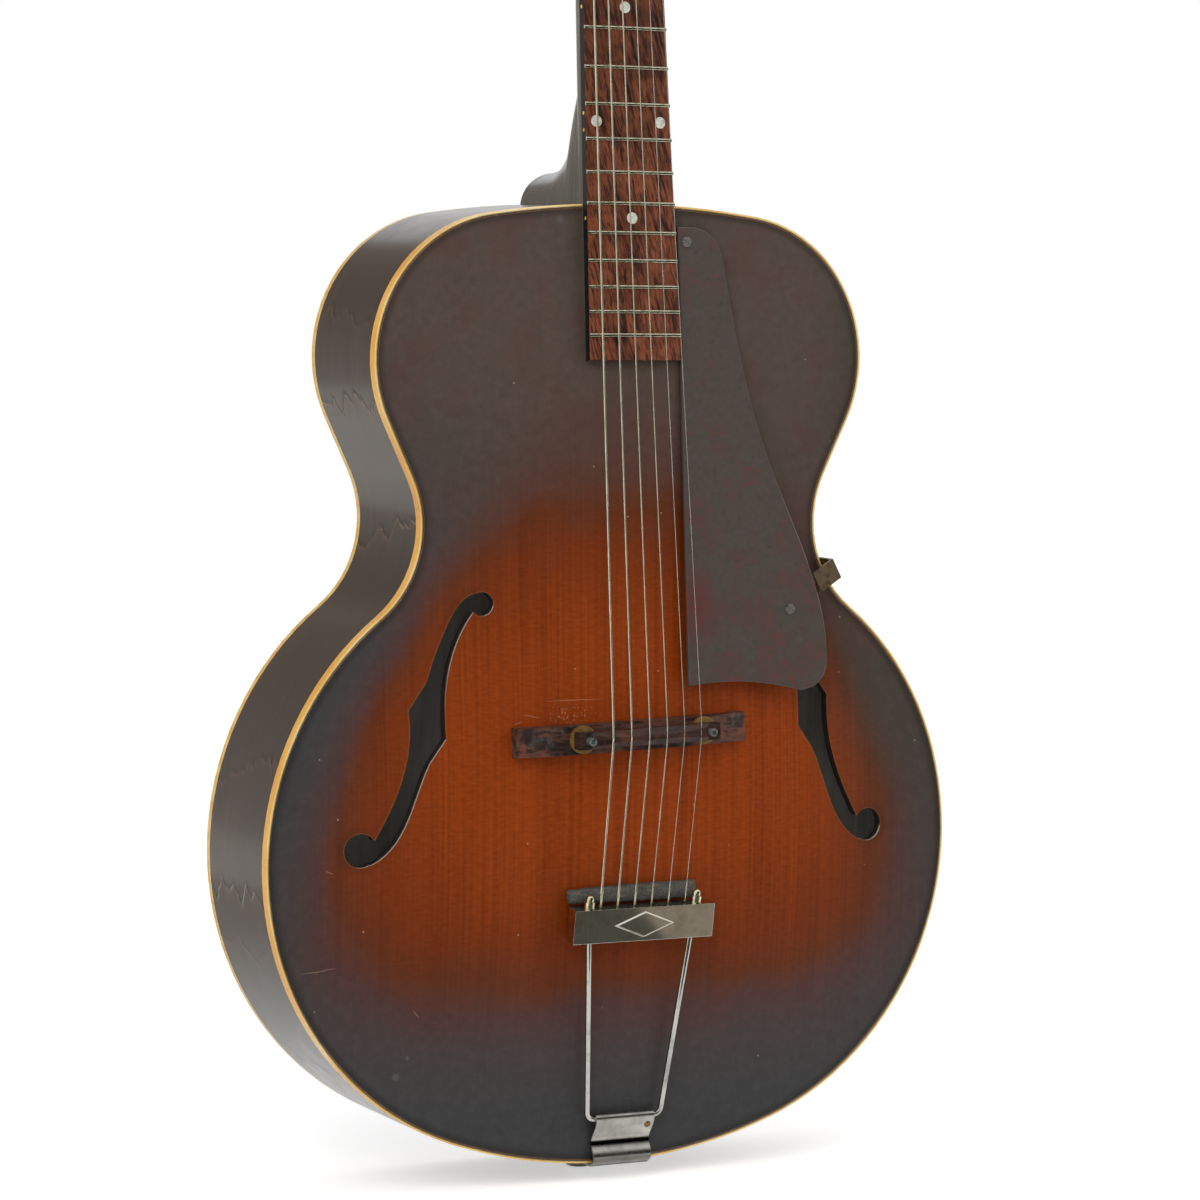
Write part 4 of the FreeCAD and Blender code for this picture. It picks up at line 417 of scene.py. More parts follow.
def aged_celluloid(finish):
    """Ivory celluloid binding, gone amber, with a cream painted highlight along the front's edge at the rim
    and painted shade on the front's inner half."""
    material, tree, place = start_material("Aged celluloid binding")
    front = add(tree, RANGE, facing(tree, 1), -0.5, -0.9)
    age = add(tree, NOISE, {"Vector": place, "Scale": per(38), "Detail": 4.0})
    side = add(tree, RAMP, age, stops=[(0.3, "#dd9c40"), (0.5, finish.binding), (0.72, "#f5c266")])
    cream = add(tree, RAMP, age, stops=[(0.3, "#e8b75e"), (0.55, "#f5d18a"), (0.75, "#fbe4b0")])
    away = add(tree, AWAY, place, BODY_MIDDLE)
    away = add(tree, TINT, away, (1, 0, 1))
    away = add(tree, VECTOR, away, operation="NORMALIZE")
    # Painted light on the front: cream highlight by the rim, dark painted shade on the inner half
    highlight_share = add(tree, ROUNDED, {"Radius": 1.6 * MM}, samples=6)
    highlight_share = add(tree, DOT, away, highlight_share, out=1)
    highlight_share = add(tree, RANGE, highlight_share, -0.06, 0.06)
    cream = painted(tree, "#2e2724", (highlight_share, cream))
    colour = painted(tree, side, (front, cream))
    grit = add(tree, NOISE, {"Vector": place, "Scale": per(2.5), "Detail": 3.0})
    return coat(material, colour, (grit, 0.2, 0.2), (age, 0.08, 0.6), specular=0.3)


def raw_spruce():
    """Unfinished spruce and mahogany inside the body: pale and matt."""
    material, tree, place = start_material("Raw spruce inside")
    fibre = add(tree, NOISE, {"Vector": place, "Scale": per(2), "Detail": 3.0})
    return coat(material, bare_wood(tree, place), (fibre, 0.2, 0.65), (fibre, 0.15, 0.4))


def black_celluloid(name):
    """Turned or cut black plastic: glossy, with hairline scratches and a little dust."""
    material, tree, place = start_material(name)
    hair = add(tree, NOISE, {"Vector": place, "Scale": per(3.3), "Detail": 4.0})
    colour = add(tree, RAMP, hair, stops=[(0.35, "#151312"), (0.6, "#1f1b1a"), (0.8, "#2f2826")])
    return coat(material, colour, (hair, 0.25, 0.06))


class GUITAR_OT_body(bpy.types.Operator):
    """Finish the plates, rim, binding and the wood inside"""
    bl_idname = "guitar.body"
    bl_label = "Body"

    def execute(self, context):
        finish = context.scene.guitar_finish
        dress(sunburst_spruce(finish), "top_plate")
        dress(stained_maple(), "rib_bass", "rib_treble")
        dress(figured_back(), "back_plate")
        dress(aged_celluloid(finish), "top_binding")
        # The back binding is painted paler than the top's, as sheen where it is seen edge-on
        dress(cast_plastic("Back binding celluloid paled for painted sheen", "#f0cb7c", "#e0ad50"), "back_binding")
        dress(raw_spruce(), "linings", "neck_block", "tail_block", "tone_bars")
        dress(black_celluloid("Black end pin"), "end_pin")
        return {"FINISHED"}


# Neck

def lacquered_mahogany():
    """Mahogany neck under gloss lacquer, stained grey-brown, with painted sheen that makes it paler further
    up the neck and most on its sides, browner behind, and with long pores along the neck."""
    material, tree, place = start_material("Lacquered mahogany")
    pores = drawn_out(tree, place, (2.4, 2.4, 45))
    colour = add(tree, RAMP, pores, stops=[(0.3, "#474740"), (0.5, "#54544b"), (0.75, "#5f5e55")])
    # Painted sheen: paler further up the neck, most where it faces sideways
    painted_sheen = add(tree, RANGE, add(tree, SPLIT, place, out=2), 0.535, 0.60, 0.0, 0.75)
    painted_sheen = add(tree, SCALED, painted_sheen, add(tree, POSITIVE, facing(tree, 0)), 0.95)
    colour = add(tree, TINT, colour, painted_sheen)
    browner = add(tree, RANGE, facing(tree, 1), 0.2, 0.8, 0.0, 0.7)
    colour = painted(tree, colour, (browner, "#3f2b20"))
    smear = add(tree, NOISE, {"Vector": place, "Scale": per(12), "Detail": 4.0})
    return coat(material, colour, (smear, 0.2, 0.10), (pores, 0.05, 0.3), specular=0.42)


def oiled_rosewood():
    """Oiled rosewood board: brown with dark slanting streaks and open pores, black along its sides."""
    material, tree, place = start_material("Rosewood board")
    slant = add(tree, MAPPING, {"Vector": place, "Rotation": (0, math.radians(-12), 0),
                                "Scale": (2.2 * MM, 2.2 * MM, 30 * MM)}, vector_type="TEXTURE")
    streak = add(tree, NOISE, {"Vector": slant, "Scale": 1.0, "Detail": 5.0, "Roughness": 0.62,
                               "Distortion": 0.4})
    colour = add(tree, RAMP, streak, stops=[
        (0.34, "#1f100d"), (0.44, "#4b271b"), (0.53, "#7b4025"), (0.61, "#613522"), (0.71, "#2b1612")])
    nearer = add(tree, RANGE, add(tree, SPLIT, place, out=2), 0.66, 0.50, 0.76, 1.3)
    patch = add(tree, NOISE, {"Vector": place, "Scale": per(15)})
    patch = add(tree, RANGE, patch, 0.36, 0.58, 0.6, 1.06)
    nearer = add(tree, TIMES, nearer, patch)
    colour = add(tree, TINT, colour, nearer)
    pores = add(tree, MAPPING, {"Vector": slant, "Scale": (3.4, 3.4, 3.0)})
    pores = add(tree, NOISE, {"Vector": pores, "Scale": 1.0, "Detail": 1.0})
    dashes = add(tree, RANGE, pores, 0.42, 0.34, 0.0, 0.65)
    edge = add(tree, ABOVE, add(tree, POSITIVE, facing(tree, 0)), 0.6)
    colour = painted(tree, colour, (dashes, "#1b0f0b"), (edge, "#171514"))
    return coat(material, colour, (streak, 0.3, 0.28), (pores, 0.2, 0.3), specular=0.3)


def plated_metal(name, pale, dull, rough, cloud_size, edge=0.0, bare=1.0, painted_end_glint=False):
    """Plated or bare metal: bright with a cloudy tarnish, fine wear in its gloss, edges that are rounded
    by polishing where an edge radius in millimetres is given, grime where it isn't all bare, and a white
    painted glint on the cut ends of fret wire at the sides."""
    material, tree, place = start_material(name)
    cloud = add(tree, NOISE, {"Vector": place, "Scale": per(cloud_size), "Detail": 5.0, "Roughness": 0.65})
    colour = add(tree, RAMP, cloud, stops=[(0.32, dull), (0.52, pale), (0.8, pale)])
    if painted_end_glint:
        # Painted highlight: faces toward the sides are painted white as a glint
        ends = add(tree, RANGE, add(tree, POSITIVE, facing(tree, 0)), 0.3, 0.6)
        colour = painted(tree, colour, (ends, "#ffffff"))
    return coat(material, colour, (cloud, -rough, 1.6 * rough), edge=edge, metallic=bare)


def pearl():
    """Mother-of-pearl: pale grey with cloudy warm and cool patches and a wet gloss."""
    material, tree, place = start_material("Pearl dots")
    cloud = add(tree, NOISE, {"Vector": place, "Scale": per(2.2), "Detail": 3.0, "Distortion": 1.5})
    colour = add(tree, RAMP, cloud, stops=[(0.3, "#9da097"), (0.5, "#c9c9bd"), (0.7, "#e0dccd")])
    return coat(material, colour, (cloud, 0.15, 0.15))


def cast_plastic(name, pale, deep):
    """Cast plastic or bone: a slightly mottled colour with a soft polish."""
    material, tree, place = start_material(name)
    cloud = add(tree, NOISE, {"Vector": place, "Scale": per(5.5), "Detail": 3.0})
    colour = add(tree, RAMP, cloud, stops=[(0.35, deep), (0.65, pale)])
    return coat(material, colour, (cloud, 0.2, 0.2))


class GUITAR_OT_neck(bpy.types.Operator):
    """Finish the neck, fretboard, frets, dots, nut and truss rod"""
    bl_idname = "guitar.neck"
    bl_label = "Neck"

    def execute(self, context):
        dress(lacquered_mahogany(), "neck")
        dress(black_celluloid("Black headstock face"), "headstock_veneer", "truss_rod_cover")
        dress(oiled_rosewood(), "fretboard")
        dress(plated_metal("Worn fret nickel", "#c3bfa6", "#8a8669", 0.22, 3.0, painted_end_glint=True), "frets")
        dress(pearl(), "fret_dots")
        dress(cast_plastic("Celluloid side dots", "#f0cd6a", "#c49a35"), "side_dots")
        dress(cast_plastic("Bone nut", "#efe6cf", "#dccda8"), "nut")
        dress(plated_metal("Truss rod steel", "#8f8f8d", "#66615b", 0.4, 5.0), "truss_rod")
        dress(plated_metal("Truss rod brass", "#b08d4f", "#7d6233", 0.35, 4.0), "truss_rod_nut")
        return {"FINISHED"}


# Metalwork

class GUITAR_OT_tuners(bpy.types.Operator):
    """Finish the tuners, their buttons and screws"""
    bl_idname = "guitar.tuners"
    bl_label = "Tuners"

    def execute(self, context):
        nickel = plated_metal("Tuner nickel", "#d2ccbd", "#9d947c", 0.24, 7.0)
        numbers = range(1, 7)
        dress(nickel, "tuner_plate_bass", "tuner_plate_treble", "post_bushings",
              *["tuner_worm_%d" % n for n in numbers], *["tuner_post_%d" % n for n in numbers])
        dress(cast_plastic("Cream tuner buttons", "#f1e6c6", "#ddc78f"),
              *["tuner_button_%d" % n for n in numbers])
        screw_steel = plated_metal("Screw steel", "#8f8c84", "#54514b", 0.4, 1.2, bare=0.6)
        dress(screw_steel, "headstock_screws", "body_screws")
        return {"FINISHED"}


# The hinge's screw head: middle, direction and sizes in millimetres
SCREW_MIDDLE = Vector((16.6, -50.3, 20.9))
SCREW_WAY = Vector((0.0, -0.86, -0.51))
SCREW_RADIUS = 1.9
SCREW_RISE = 1.0
SCREW_SKIRT = 0.4
SCREW_SLOT = 0.55
SLOT_DEPTH = 0.45


def hinge_screw_head():
    """A domed screw head with a slot, on the upper band of the hinge strap."""
    builder = bmesh.new()
    arc = [math.radians(90 * i / 6) for i in range(7)]
    line = [builder.verts.new((SCREW_RADIUS * math.cos(a), 0, SCREW_RISE * math.sin(a))) for a in arc]
    line.insert(0, builder.verts.new((SCREW_RADIUS, 0, -SCREW_SKIRT)))
    edges = [builder.edges.new(pair) for pair in zip(line, line[1:])]
    bmesh.ops.spin(builder, geom=line + edges, axis=(0, 0, 1), cent=(0, 0, 0), angle=2 * math.pi,
                   steps=24, use_merge=True)
    bmesh.ops.remove_doubles(builder, verts=builder.verts, dist=0.01)
    for side in (-1, 1):
        geom = builder.verts[:] + builder.edges[:] + builder.faces[:]
        bmesh.ops.bisect_plane(builder, geom=geom, plane_co=(side * SCREW_SLOT / 2, 0, 0), plane_no=(1, 0, 0))
    groove = [f for f in builder.faces if abs(f.calc_center_median().x) < SCREW_SLOT / 2 and f.normal.z > 0.2]
    bmesh.ops.inset_region(builder, faces=groove, thickness=0.0, depth=-SLOT_DEPTH, use_even_offset=False)
    bmesh.ops.holes_fill(builder, edges=[edge for edge in builder.edges if edge.is_boundary])
    bmesh.ops.recalc_face_normals(builder, faces=builder.faces)
    turn = SCREW_WAY.to_track_quat("Z", "Y").to_matrix().to_4x4()
    builder.transform(Matrix.Scale(MM, 4) @ Matrix.Translation(SCREW_MIDDLE) @ turn)
    return builder


def bent_nickel():
    """Nickel hinge strap: painted reflections in bands up it, bright on its bends, with a line of painted
    shade in the groove between them.
    """
    material, tree, place = start_material("Hinge nickel with painted reflections")
    height = add(tree, RANGE, add(tree, SPLIT, place, out=2), 0.0, 26 * MM)
    # Painted reflections and shade: pale and grey bands up the strap, near black in the groove
    colour = add(tree, RAMP, height, stops=[
        (0.0, "#77766f"), (0.12, "#6d6c66"), (0.21, "#9a9992"), (0.30, "#cdccc5"), (0.38, "#aeada5"),
        (0.42, "#0c0c0b"), (0.485, "#0c0c0b"), (0.525, "#a8a79f"), (0.64, "#bdbcb4"), (0.84, "#a6a59d")])
    cloud = add(tree, NOISE, {"Vector": place, "Scale": per(9), "Detail": 5.0, "Roughness": 0.65})
    tone = add(tree, RANGE, cloud, 0.32, 0.55, 0.75, 1.04)
    colour = add(tree, TINT, colour, tone)
    return coat(material, colour, (cloud, -0.3, 0.46), edge=0.4, metallic=1.0)


class GUITAR_OT_tailpiece(bpy.types.Operator):
    """Finish the hinge, trapeze rod, crossbar and dome nuts, and add the hinge's screw head"""
    bl_idname = "guitar.tailpiece"
    bl_label = "Tailpiece"

    def execute(self, context):
        crossbar = plated_metal("Polished crossbar nickel", "#d5cfc1", "#bdb5a3", 0.07, 14.0, 0.3)
        dress(crossbar, "tailpiece_bar")
        dress(plated_metal("Trapeze rod nickel", "#b5b4ad", "#8c8b84", 0.10, 11.0), "trapeze_rod")
        dress(bent_nickel(), "tailpiece_hinge")
        dress(plated_metal("Yellowed dome nuts", "#d9d3b3", "#a39b76", 0.16, 2.5), "dome_nuts")
        dress(plated_metal("Ball end brass", "#b4935a", "#7e6336", 0.3, 3.3), "ball_ends")
        brown = plated_metal("Brown screw brass", "#8d6a45", "#4f3a26", 0.4, 1.0)
        screw = piece("hinge_screw", hinge_screw_head(), brown)
        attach(screw, "root")
        return {"FINISHED"}


# The strings at the saddle: how far their middle lies to the treble side, their spread and their spacing
SADDLE_SHIFT = 3.2
SADDLE_SPREAD = 53.2
STRING_STEP = SADDLE_SPREAD / 5
# The saddle's notches, painted as dark lines of shade: how far they lean, and the height at which they meet
# the strings, in metres
NOTCH_LEAN = 0.7
NOTCH_HEIGHT = 0.2365


def bridge_rosewood(name, notched):
    """Worn rosewood bridge: dark brown with red patches, grey rubbed patches and fine pores along it;
    the saddle has a dark slanting line of painted shade for the notch under each string."""
    material, tree, place = start_material(name)
    streak = drawn_out(tree, place, (22, 4, 4), Detail=5.0, Roughness=0.65)
    colour = add(tree, RAMP, streak, stops=[
        (0.32, "#1c1413"), (0.45, "#38251f"), (0.56, "#5f3d31"), (0.66, "#42291f"), (0.78, "#221715")])
    rub = drawn_out(tree, place, (9, 8, 12), Detail=5.0, Roughness=0.6)
    grey = add(tree, RANGE, rub, 0.56, 0.70, 0.0, 0.3)
    red = add(tree, RANGE, rub, 0.46, 0.34, 0.0, 0.65)
    colour = painted(tree, colour, (grey, "#7d7472"), (red, "#7a4430"))
    if notched:
        colour = add(tree, TINT, colour, linear("#bababa")[:3])
        # Painted shade: a dark slanting line for the notch under each string
        x, _, z = add(tree, SPLIT, place).node.outputs
        lean = add(tree, SCALED, z, NOTCH_LEAN, -NOTCH_LEAN * NOTCH_HEIGHT)
        slot = add(tree, PLUS, x, lean)
        slot = add(tree, MINUS, slot, (SADDLE_SHIFT - STRING_STEP) * MM)
        slot = add(tree, MATH, slot, STRING_STEP * MM, operation="WRAP")
        slot = add(tree, MINUS, slot, STRING_STEP / 2 * MM)
        slot = add(tree, POSITIVE, slot)
        slot = add(tree, RANGE, slot, 0.8 * MM, 0.4 * MM, 0.0, 0.85)
        colour = painted(tree, colour, (slot, "#140d0b"))
    grit = drawn_out(tree, place, (22 / 6, 4 / 6, 4 / 6))
    return coat(material, colour, (grit, 0.3, 0.3), (grit, 0.25, 0.3), specular=0.35)


class GUITAR_OT_bridge(bpy.types.Operator):
    """Finish the bridge's base, saddle, posts and thumbwheels"""
    bl_idname = "guitar.bridge"
    bl_label = "Bridge"

    def execute(self, context):
        dress(bridge_rosewood("Rosewood bridge base", False), "bridge_base")
        dress(bridge_rosewood("Rosewood saddle", True), "bridge_saddle")
        dress(plated_metal("Bridge post steel", "#797b74", "#3d3e38", 0.35, 2.0, 0.5, 0.4), "bridge_posts")
        dress(plated_metal("Dull thumbwheel brass", "#b08e55", "#7c623a", 0.45, 3.0, 0.4, 0.7),
              "thumbwheel_bass", "thumbwheel_treble")
        return {"FINISHED"}


# Pickguard

def tortoise_celluloid():
    """Dark tortoise celluloid: grey-brown with sparse thin red flecks in drifts and a red blush at its lower
    inner corner, polished but hazed."""
    material, tree, place = start_material("Dark tortoise celluloid")
    fleck = add(tree, NOISE, {"Vector": place, "Scale": per(12), "Detail": 3.0, "Distortion": 1.5})
    fleck = add(tree, MINUS, fleck, 0.5)
    fleck = add(tree, POSITIVE, fleck)
    fleck = add(tree, RANGE, fleck, 0.026, 0.006)
    drift = add(tree, NOISE, {"Vector": place, "Scale": per(18), "Detail": 3.0})
    low = add(tree, RANGE, add(tree, SPLIT, place, out=2), 0.42, 0.26, 0.0, 0.10)
    drift = add(tree, PLUS, drift, low)
    drift = add(tree, RANGE, drift, 0.54, 0.66)
    haze = add(tree, NOISE, {"Vector": place, "Scale": per(3), "Detail": 4.0})
    colour = add(tree, RAMP, haze, stops=[(0.3, "#49423d"), (0.5, "#4d4640"), (0.72, "#504843")])
    blush = distance_from(tree, place, (0.034, -0.063, 0.304), (0.016, 0.05, 0.026))
    blush = add(tree, RANGE, blush, 1.0, 0.1)
    cloudy = add(tree, RANGE, haze, 0.35, 0.6, 0.4, 1.0)
    blush = add(tree, TIMES, blush, cloudy)
    soft = add(tree, TIMES, drift, cloudy)
    soft = add(tree, TIMES, soft, 0.45)
    fleck = add(tree, TIMES, fleck, drift)
    fleck = add(tree, TIMES, fleck, 0.6)
    colour = painted(tree, colour, (blush, "#662d2b"), (soft, "#563b38"), (fleck, "#6a3730"))
    return coat(material, colour, (haze, 0.2, 0.22), edge=0.6, specular=0.25)


class GUITAR_OT_pickguard(bpy.types.Operator):
    """Finish the pickguard, its spacer and its bracket"""
    bl_idname = "guitar.pickguard"
    bl_label = "Pickguard"

    def execute(self, context):
        dress(tortoise_celluloid(), "pickguard", "pickguard_spacer")
        dress(plated_metal("Brown bracket brass", "#8d7a60", "#574736", 0.4, 4.5, 0.3), "pickguard_bracket")
        return {"FINISHED"}


# Strings

# Sizes and places in millimetres, as the solids have them; the neck's frame starts at the fourteenth fret
DIAMETERS = (1.3, 1.1, 0.85, 0.65, 0.45, 0.35)
WOUND = 4
STRING_LENGTH = 628.65
BOARD_RADIUS = 305.0
# The strings at the nut: its place, their spread and their height above the board
NUT_AT = STRING_LENGTH * (1 - 2 ** (-14 / 12))
NUT_SPREAD = 34.0
NUT_RISE = 1.9
# The saddle: its strings' height above the line of the board, its slant and how far it is set back
SADDLE_RISE = 4.4
SADDLE_SLANT = math.radians(1.9)
SADDLE_BACK = 4.5
# The strings at the crossbar: their spread, and how far their ends lie from the hinge
TAIL_SPREAD = 50.7
BALL_AT = 117.7
# How far from the saddle and from the nut a string starts to bend
SADDLE_BEND = 8.0
NUT_BEND = 5.0
# How much thicker a string is, each side, where its end is twisted round it
TWIST = 0.25
# The turns at a post: its radius, how many, how high the first one is, the gap between them and the cut end
POST_RADIUS = 3.35
POST_TURNS = 2.5
FIRST_TURN = 3.6
TURN_GAP = 0.5
CUT_END = 4.0
# The frames of the neck and the headstock, the tailpiece's hinge, and the posts across and up the headstock
NECK = Matrix.Translation((0, -49.25, 519.0)) @ Matrix.Rotation(math.radians(-6.06), 4, "X")
HEAD = NECK @ Matrix.Translation((0, 3.0, NUT_AT + 5.0)) @ Matrix.Rotation(math.radians(-17.0), 4, "X")
HINGE = Vector((2.6, -49.0, 25.7))
POSTS = ((-22, 52), (-22, 90), (-22, 128), (22, 128), (22, 90), (22, 52))


def over_board(x, rise, z):
    """A point above the cambered board's face, in millimetres in the guitar's frame."""
    sag = BOARD_RADIUS - math.sqrt(BOARD_RADIUS ** 2 - x ** 2)
    return NECK @ Vector((x, sag - rise, z))


def string_crossings(number):
    """A string's share of the spread, from -0.5 to 0.5, and where it crosses the saddle and the nut."""
    share = number / 5 - 0.5
    x = SADDLE_SHIFT + SADDLE_SPREAD * share
    saddle = over_board(x, SADDLE_RISE, math.tan(SADDLE_SLANT) * x - (STRING_LENGTH - NUT_AT + SADDLE_BACK))
    nut = over_board(NUT_SPREAD * share, NUT_RISE, NUT_AT)
    return share, saddle, nut


SADDLE_MIDDLE = (string_crossings(2)[1] + string_crossings(3)[1]) / 2
TAIL_PITCH = math.atan2(HINGE.y - SADDLE_MIDDLE.y, SADDLE_MIDDLE.z - HINGE.z)
TAIL = Matrix.Translation(HINGE) @ Matrix.Rotation(TAIL_PITCH, 4, "X")


def bend(before, corner, after, reach, steps):
    """Points round a corner, from reach before it to reach after it."""
    start = corner + (before - corner).normalized() * reach
    end = corner + (after - corner).normalized() * reach
    shares = [i / steps for i in range(steps + 1)]
    return [start * (1 - t) ** 2 + corner * 2 * t * (1 - t) + end * t ** 2 for t in shares]


def post_turns(number, nut):
    """The string's turns round its post and its cut end, from the side that faces the nut."""
    x, z = POSTS[number]
    side = 1 if x > 0 else -1
    diameter = DIAMETERS[number]
    radius = POST_RADIUS + diameter / 2
    near = HEAD.inverted() @ nut
    away = math.hypot(near.x - x, near.z - z)
    first = math.atan2(near.z - z, near.x - x) - side * math.acos(radius / away)
    points = []
    steps = 60
    for step in range(steps + 1):
        turn = 2 * POST_TURNS * math.pi * step / steps
        swing = first - side * turn
        rise = FIRST_TURN + (diameter + TURN_GAP) * turn / (2 * math.pi)
        points.append(HEAD @ Vector((x + radius * math.cos(swing), -rise, z + radius * math.sin(swing))))
    return points + [points[-1] + (points[-1] - points[-2]).normalized() * CUT_END]


def string_lines(number):
    """A string in two runs, its tail from the crossbar to the saddle and the rest up to its post: the middle
    line and the radii of each, which are larger where the end is twisted round it above the crossbar."""
    share, saddle, nut = string_crossings(number)
    ball = TAIL @ Vector((TAIL_SPREAD * share, 0, BALL_AT))
    turns = post_turns(number, nut)
    round_saddle = bend(ball, saddle, nut, SADDLE_BEND, 8)
    round_nut = bend(saddle, nut, turns[0], NUT_BEND, 6)
    radius = DIAMETERS[number] / 2
    lock = radius + TWIST
    stops = ((0.0, radius), (0.034, radius), (0.04, lock), (0.15, lock), (0.165, radius), (0.6, radius))
    tail = [ball.lerp(round_saddle[0], part) for part, _ in stops] + round_saddle[:5]
    radii = [size for _, size in stops] + [radius] * 5
    run = round_saddle[4:] + [round_saddle[-1].lerp(round_nut[0], i / 24) for i in range(1, 24)]
    run += round_nut + turns
    return {"tail": (tail, radii), "run": (run, [radius] * len(run))}


def add_tube(builder, uv, line, radii, sides):
    """Sweep a closed round tube along a line by extruding a circle; its UV runs along it in metres."""
    side = Vector((1, 0, 0))
    frames = []
    for i, point in enumerate(line):
        way = (line[min(i + 1, len(line) - 1)] - line[max(i - 1, 0)]).normalized()
        side = (side - way * side.dot(way)).normalized()
        turn = Matrix((side, way.cross(side), way)).transposed().to_4x4()
        frames.append(Matrix.Scale(MM, 4) @ Matrix.Translation(point) @ turn @ Matrix.Scale(radii[i], 4))
    ring = bmesh.ops.create_circle(
        builder, cap_ends=True, radius=1.0, segments=sides, matrix=frames[0])["verts"]
    edges = list(dict.fromkeys(edge for vertex in ring for edge in vertex.link_edges))
    along = dict.fromkeys(ring, 0.0)
    distance = 0.0
    for before, after in zip(frames, frames[1:]):
        grown = bmesh.ops.extrude_edge_only(builder, edges=edges)["geom"]
        ring = [item for item in grown if isinstance(item, bmesh.types.BMVert)]
        edges = [item for item in grown if isinstance(item, bmesh.types.BMEdge)]
        bmesh.ops.transform(builder, matrix=after @ before.inverted(), verts=ring)
        distance += (after.translation - before.translation).length
        along.update(dict.fromkeys(ring, distance))
        for face in {face for edge in edges for face in edge.link_faces}:
            face.smooth = True
            for loop in face.loops:
                loop[uv].uv = (along[loop.vert], 0.0)
    bmesh.ops.contextual_create(builder, geom=edges)


def string_wire(name, pale, dull, pitch):
    """String wire: dulled metal, and on the lower four the ridges of the wrap wire."""
    material, tree, place = start_material(name)
    grime = add(tree, NOISE, {"Vector": place, "Scale": per(11), "Detail": 4.0})
    colour = add(tree, RAMP, grime, stops=[(0.35, dull), (0.65, pale)])
    ridges = None
    if pitch:
        along = add(tree, SPLIT, add(tree, COORDS, out=2))
        along = add(tree, TIMES, along, 2 * math.pi / pitch)
        ridges = (add(tree, MATH, along, operation="SINE"), 0.15, 0.08)
    return coat(material, colour, (grime, 0.2, 0.16), ridges, metallic=1.0)


class GUITAR_OT_strings(bpy.types.Operator):
    """Draw the six strings in two runs, so that they follow the saddle and the tailpiece"""
    bl_idname = "guitar.strings"
    bl_label = "Strings"

    def execute(self, context):
        settings = context.scene.guitar_strings
        wound = string_wire("Bronze wound string", "#dcd6bf", "#c3bba1", settings.winding)
        plain = string_wire("Plain steel string", "#dad7ca", "#c0bcae", 0.0)
        for node, numbers, wire in (("strings_wound", range(WOUND), wound),
                                    ("strings_plain", range(WOUND, len(DIAMETERS)), plain)):
            for part in ("tail", "run"):
                builder = bmesh.new()
                uv = builder.loops.layers.uv.new("Length")
                for number in numbers:
                    line, radii = string_lines(number)[part]
                    add_tube(builder, uv, line, radii, settings.sides)
                bmesh.ops.recalc_face_normals(builder, faces=builder.faces)
                made = piece(node + "_" + part, builder, wire)
                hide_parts(node)
                if part == "tail":
                    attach(made, "trapeze")
                else:
                    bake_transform(made)
        return {"FINISHED"}


# Damper pad

def worn_foam():
    """Open-cell foam gone hard: charcoal, matt, pitted all over, with brown crumbling streaks."""
    material, tree, place = start_material("Charcoal foam")
    cells = add(tree, CELLS, {"Vector": place, "Scale": per(0.9)})
    streak = drawn_out(tree, place, (8, 4, 2), Detail=5.0, Roughness=0.65)
    colour = add(tree, RAMP, streak, stops=[
        (0.3, "#4b4b47"), (0.52, "#585751"), (0.64, "#686156"), (0.75, "#796c58")])
    pit = add(tree, RANGE, cells, 0.1, 0.55, 0.6, 1.12)
    colour = add(tree, TINT, colour, pit)
    return coat(material, colour, (streak, 0.1, 0.88), (cells, 0.9, 0.7), specular=0.1)


# The foam's skin: its voxels and how far it shrinks, in millimetres, and its dents' depths and how many
# there are to a metre
FOAM_VOXEL = 1.0
FOAM_SHRINK = 0.35
FOAM_DENTS = ((0.35, 180), (0.25, 600))


class GUITAR_OT_pad(bpy.types.Operator):
    """Draw the foam pad under the strings with softened, uneven faces"""
    bl_idname = "guitar.pad"
    bl_label = "Damper pad"

    def execute(self, context):
        builder = bmesh.new()
        builder.from_mesh(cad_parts["damper_pad"].data)
        bmesh.ops.remove_doubles(builder, verts=builder.verts, dist=0.001 * MM)
        soft = piece("damper_foam", builder, worn_foam())
        remesh = soft.modifiers.new("Even mesh", "REMESH")
        remesh.mode = "VOXEL"
        remesh.voxel_size = FOAM_VOXEL * MM
        smooth = soft.modifiers.new("Soft edges", "SMOOTH")
        smooth.iterations = 6
        even = soft.evaluated_get(context.evaluated_depsgraph_get())
        mesh = bpy.data.meshes.new_from_object(even)
        soft.modifiers.clear()
        soft.data = mesh
        builder = bmesh.new()
        builder.from_mesh(mesh)
        builder.normal_update()
        for vertex in builder.verts:
            dent = sum(depth * noise.noise(vertex.co * often) for depth, often in FOAM_DENTS)
            vertex.co += vertex.normal * (dent - FOAM_SHRINK) * MM
        for face in builder.faces:
            face.smooth = True
        bmesh.ops.recalc_face_normals(builder, faces=builder.faces)
        builder.to_mesh(mesh)
        builder.free()
        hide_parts("damper_pad")
        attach(soft, "root")
        return {"FINISHED"}


# Stage

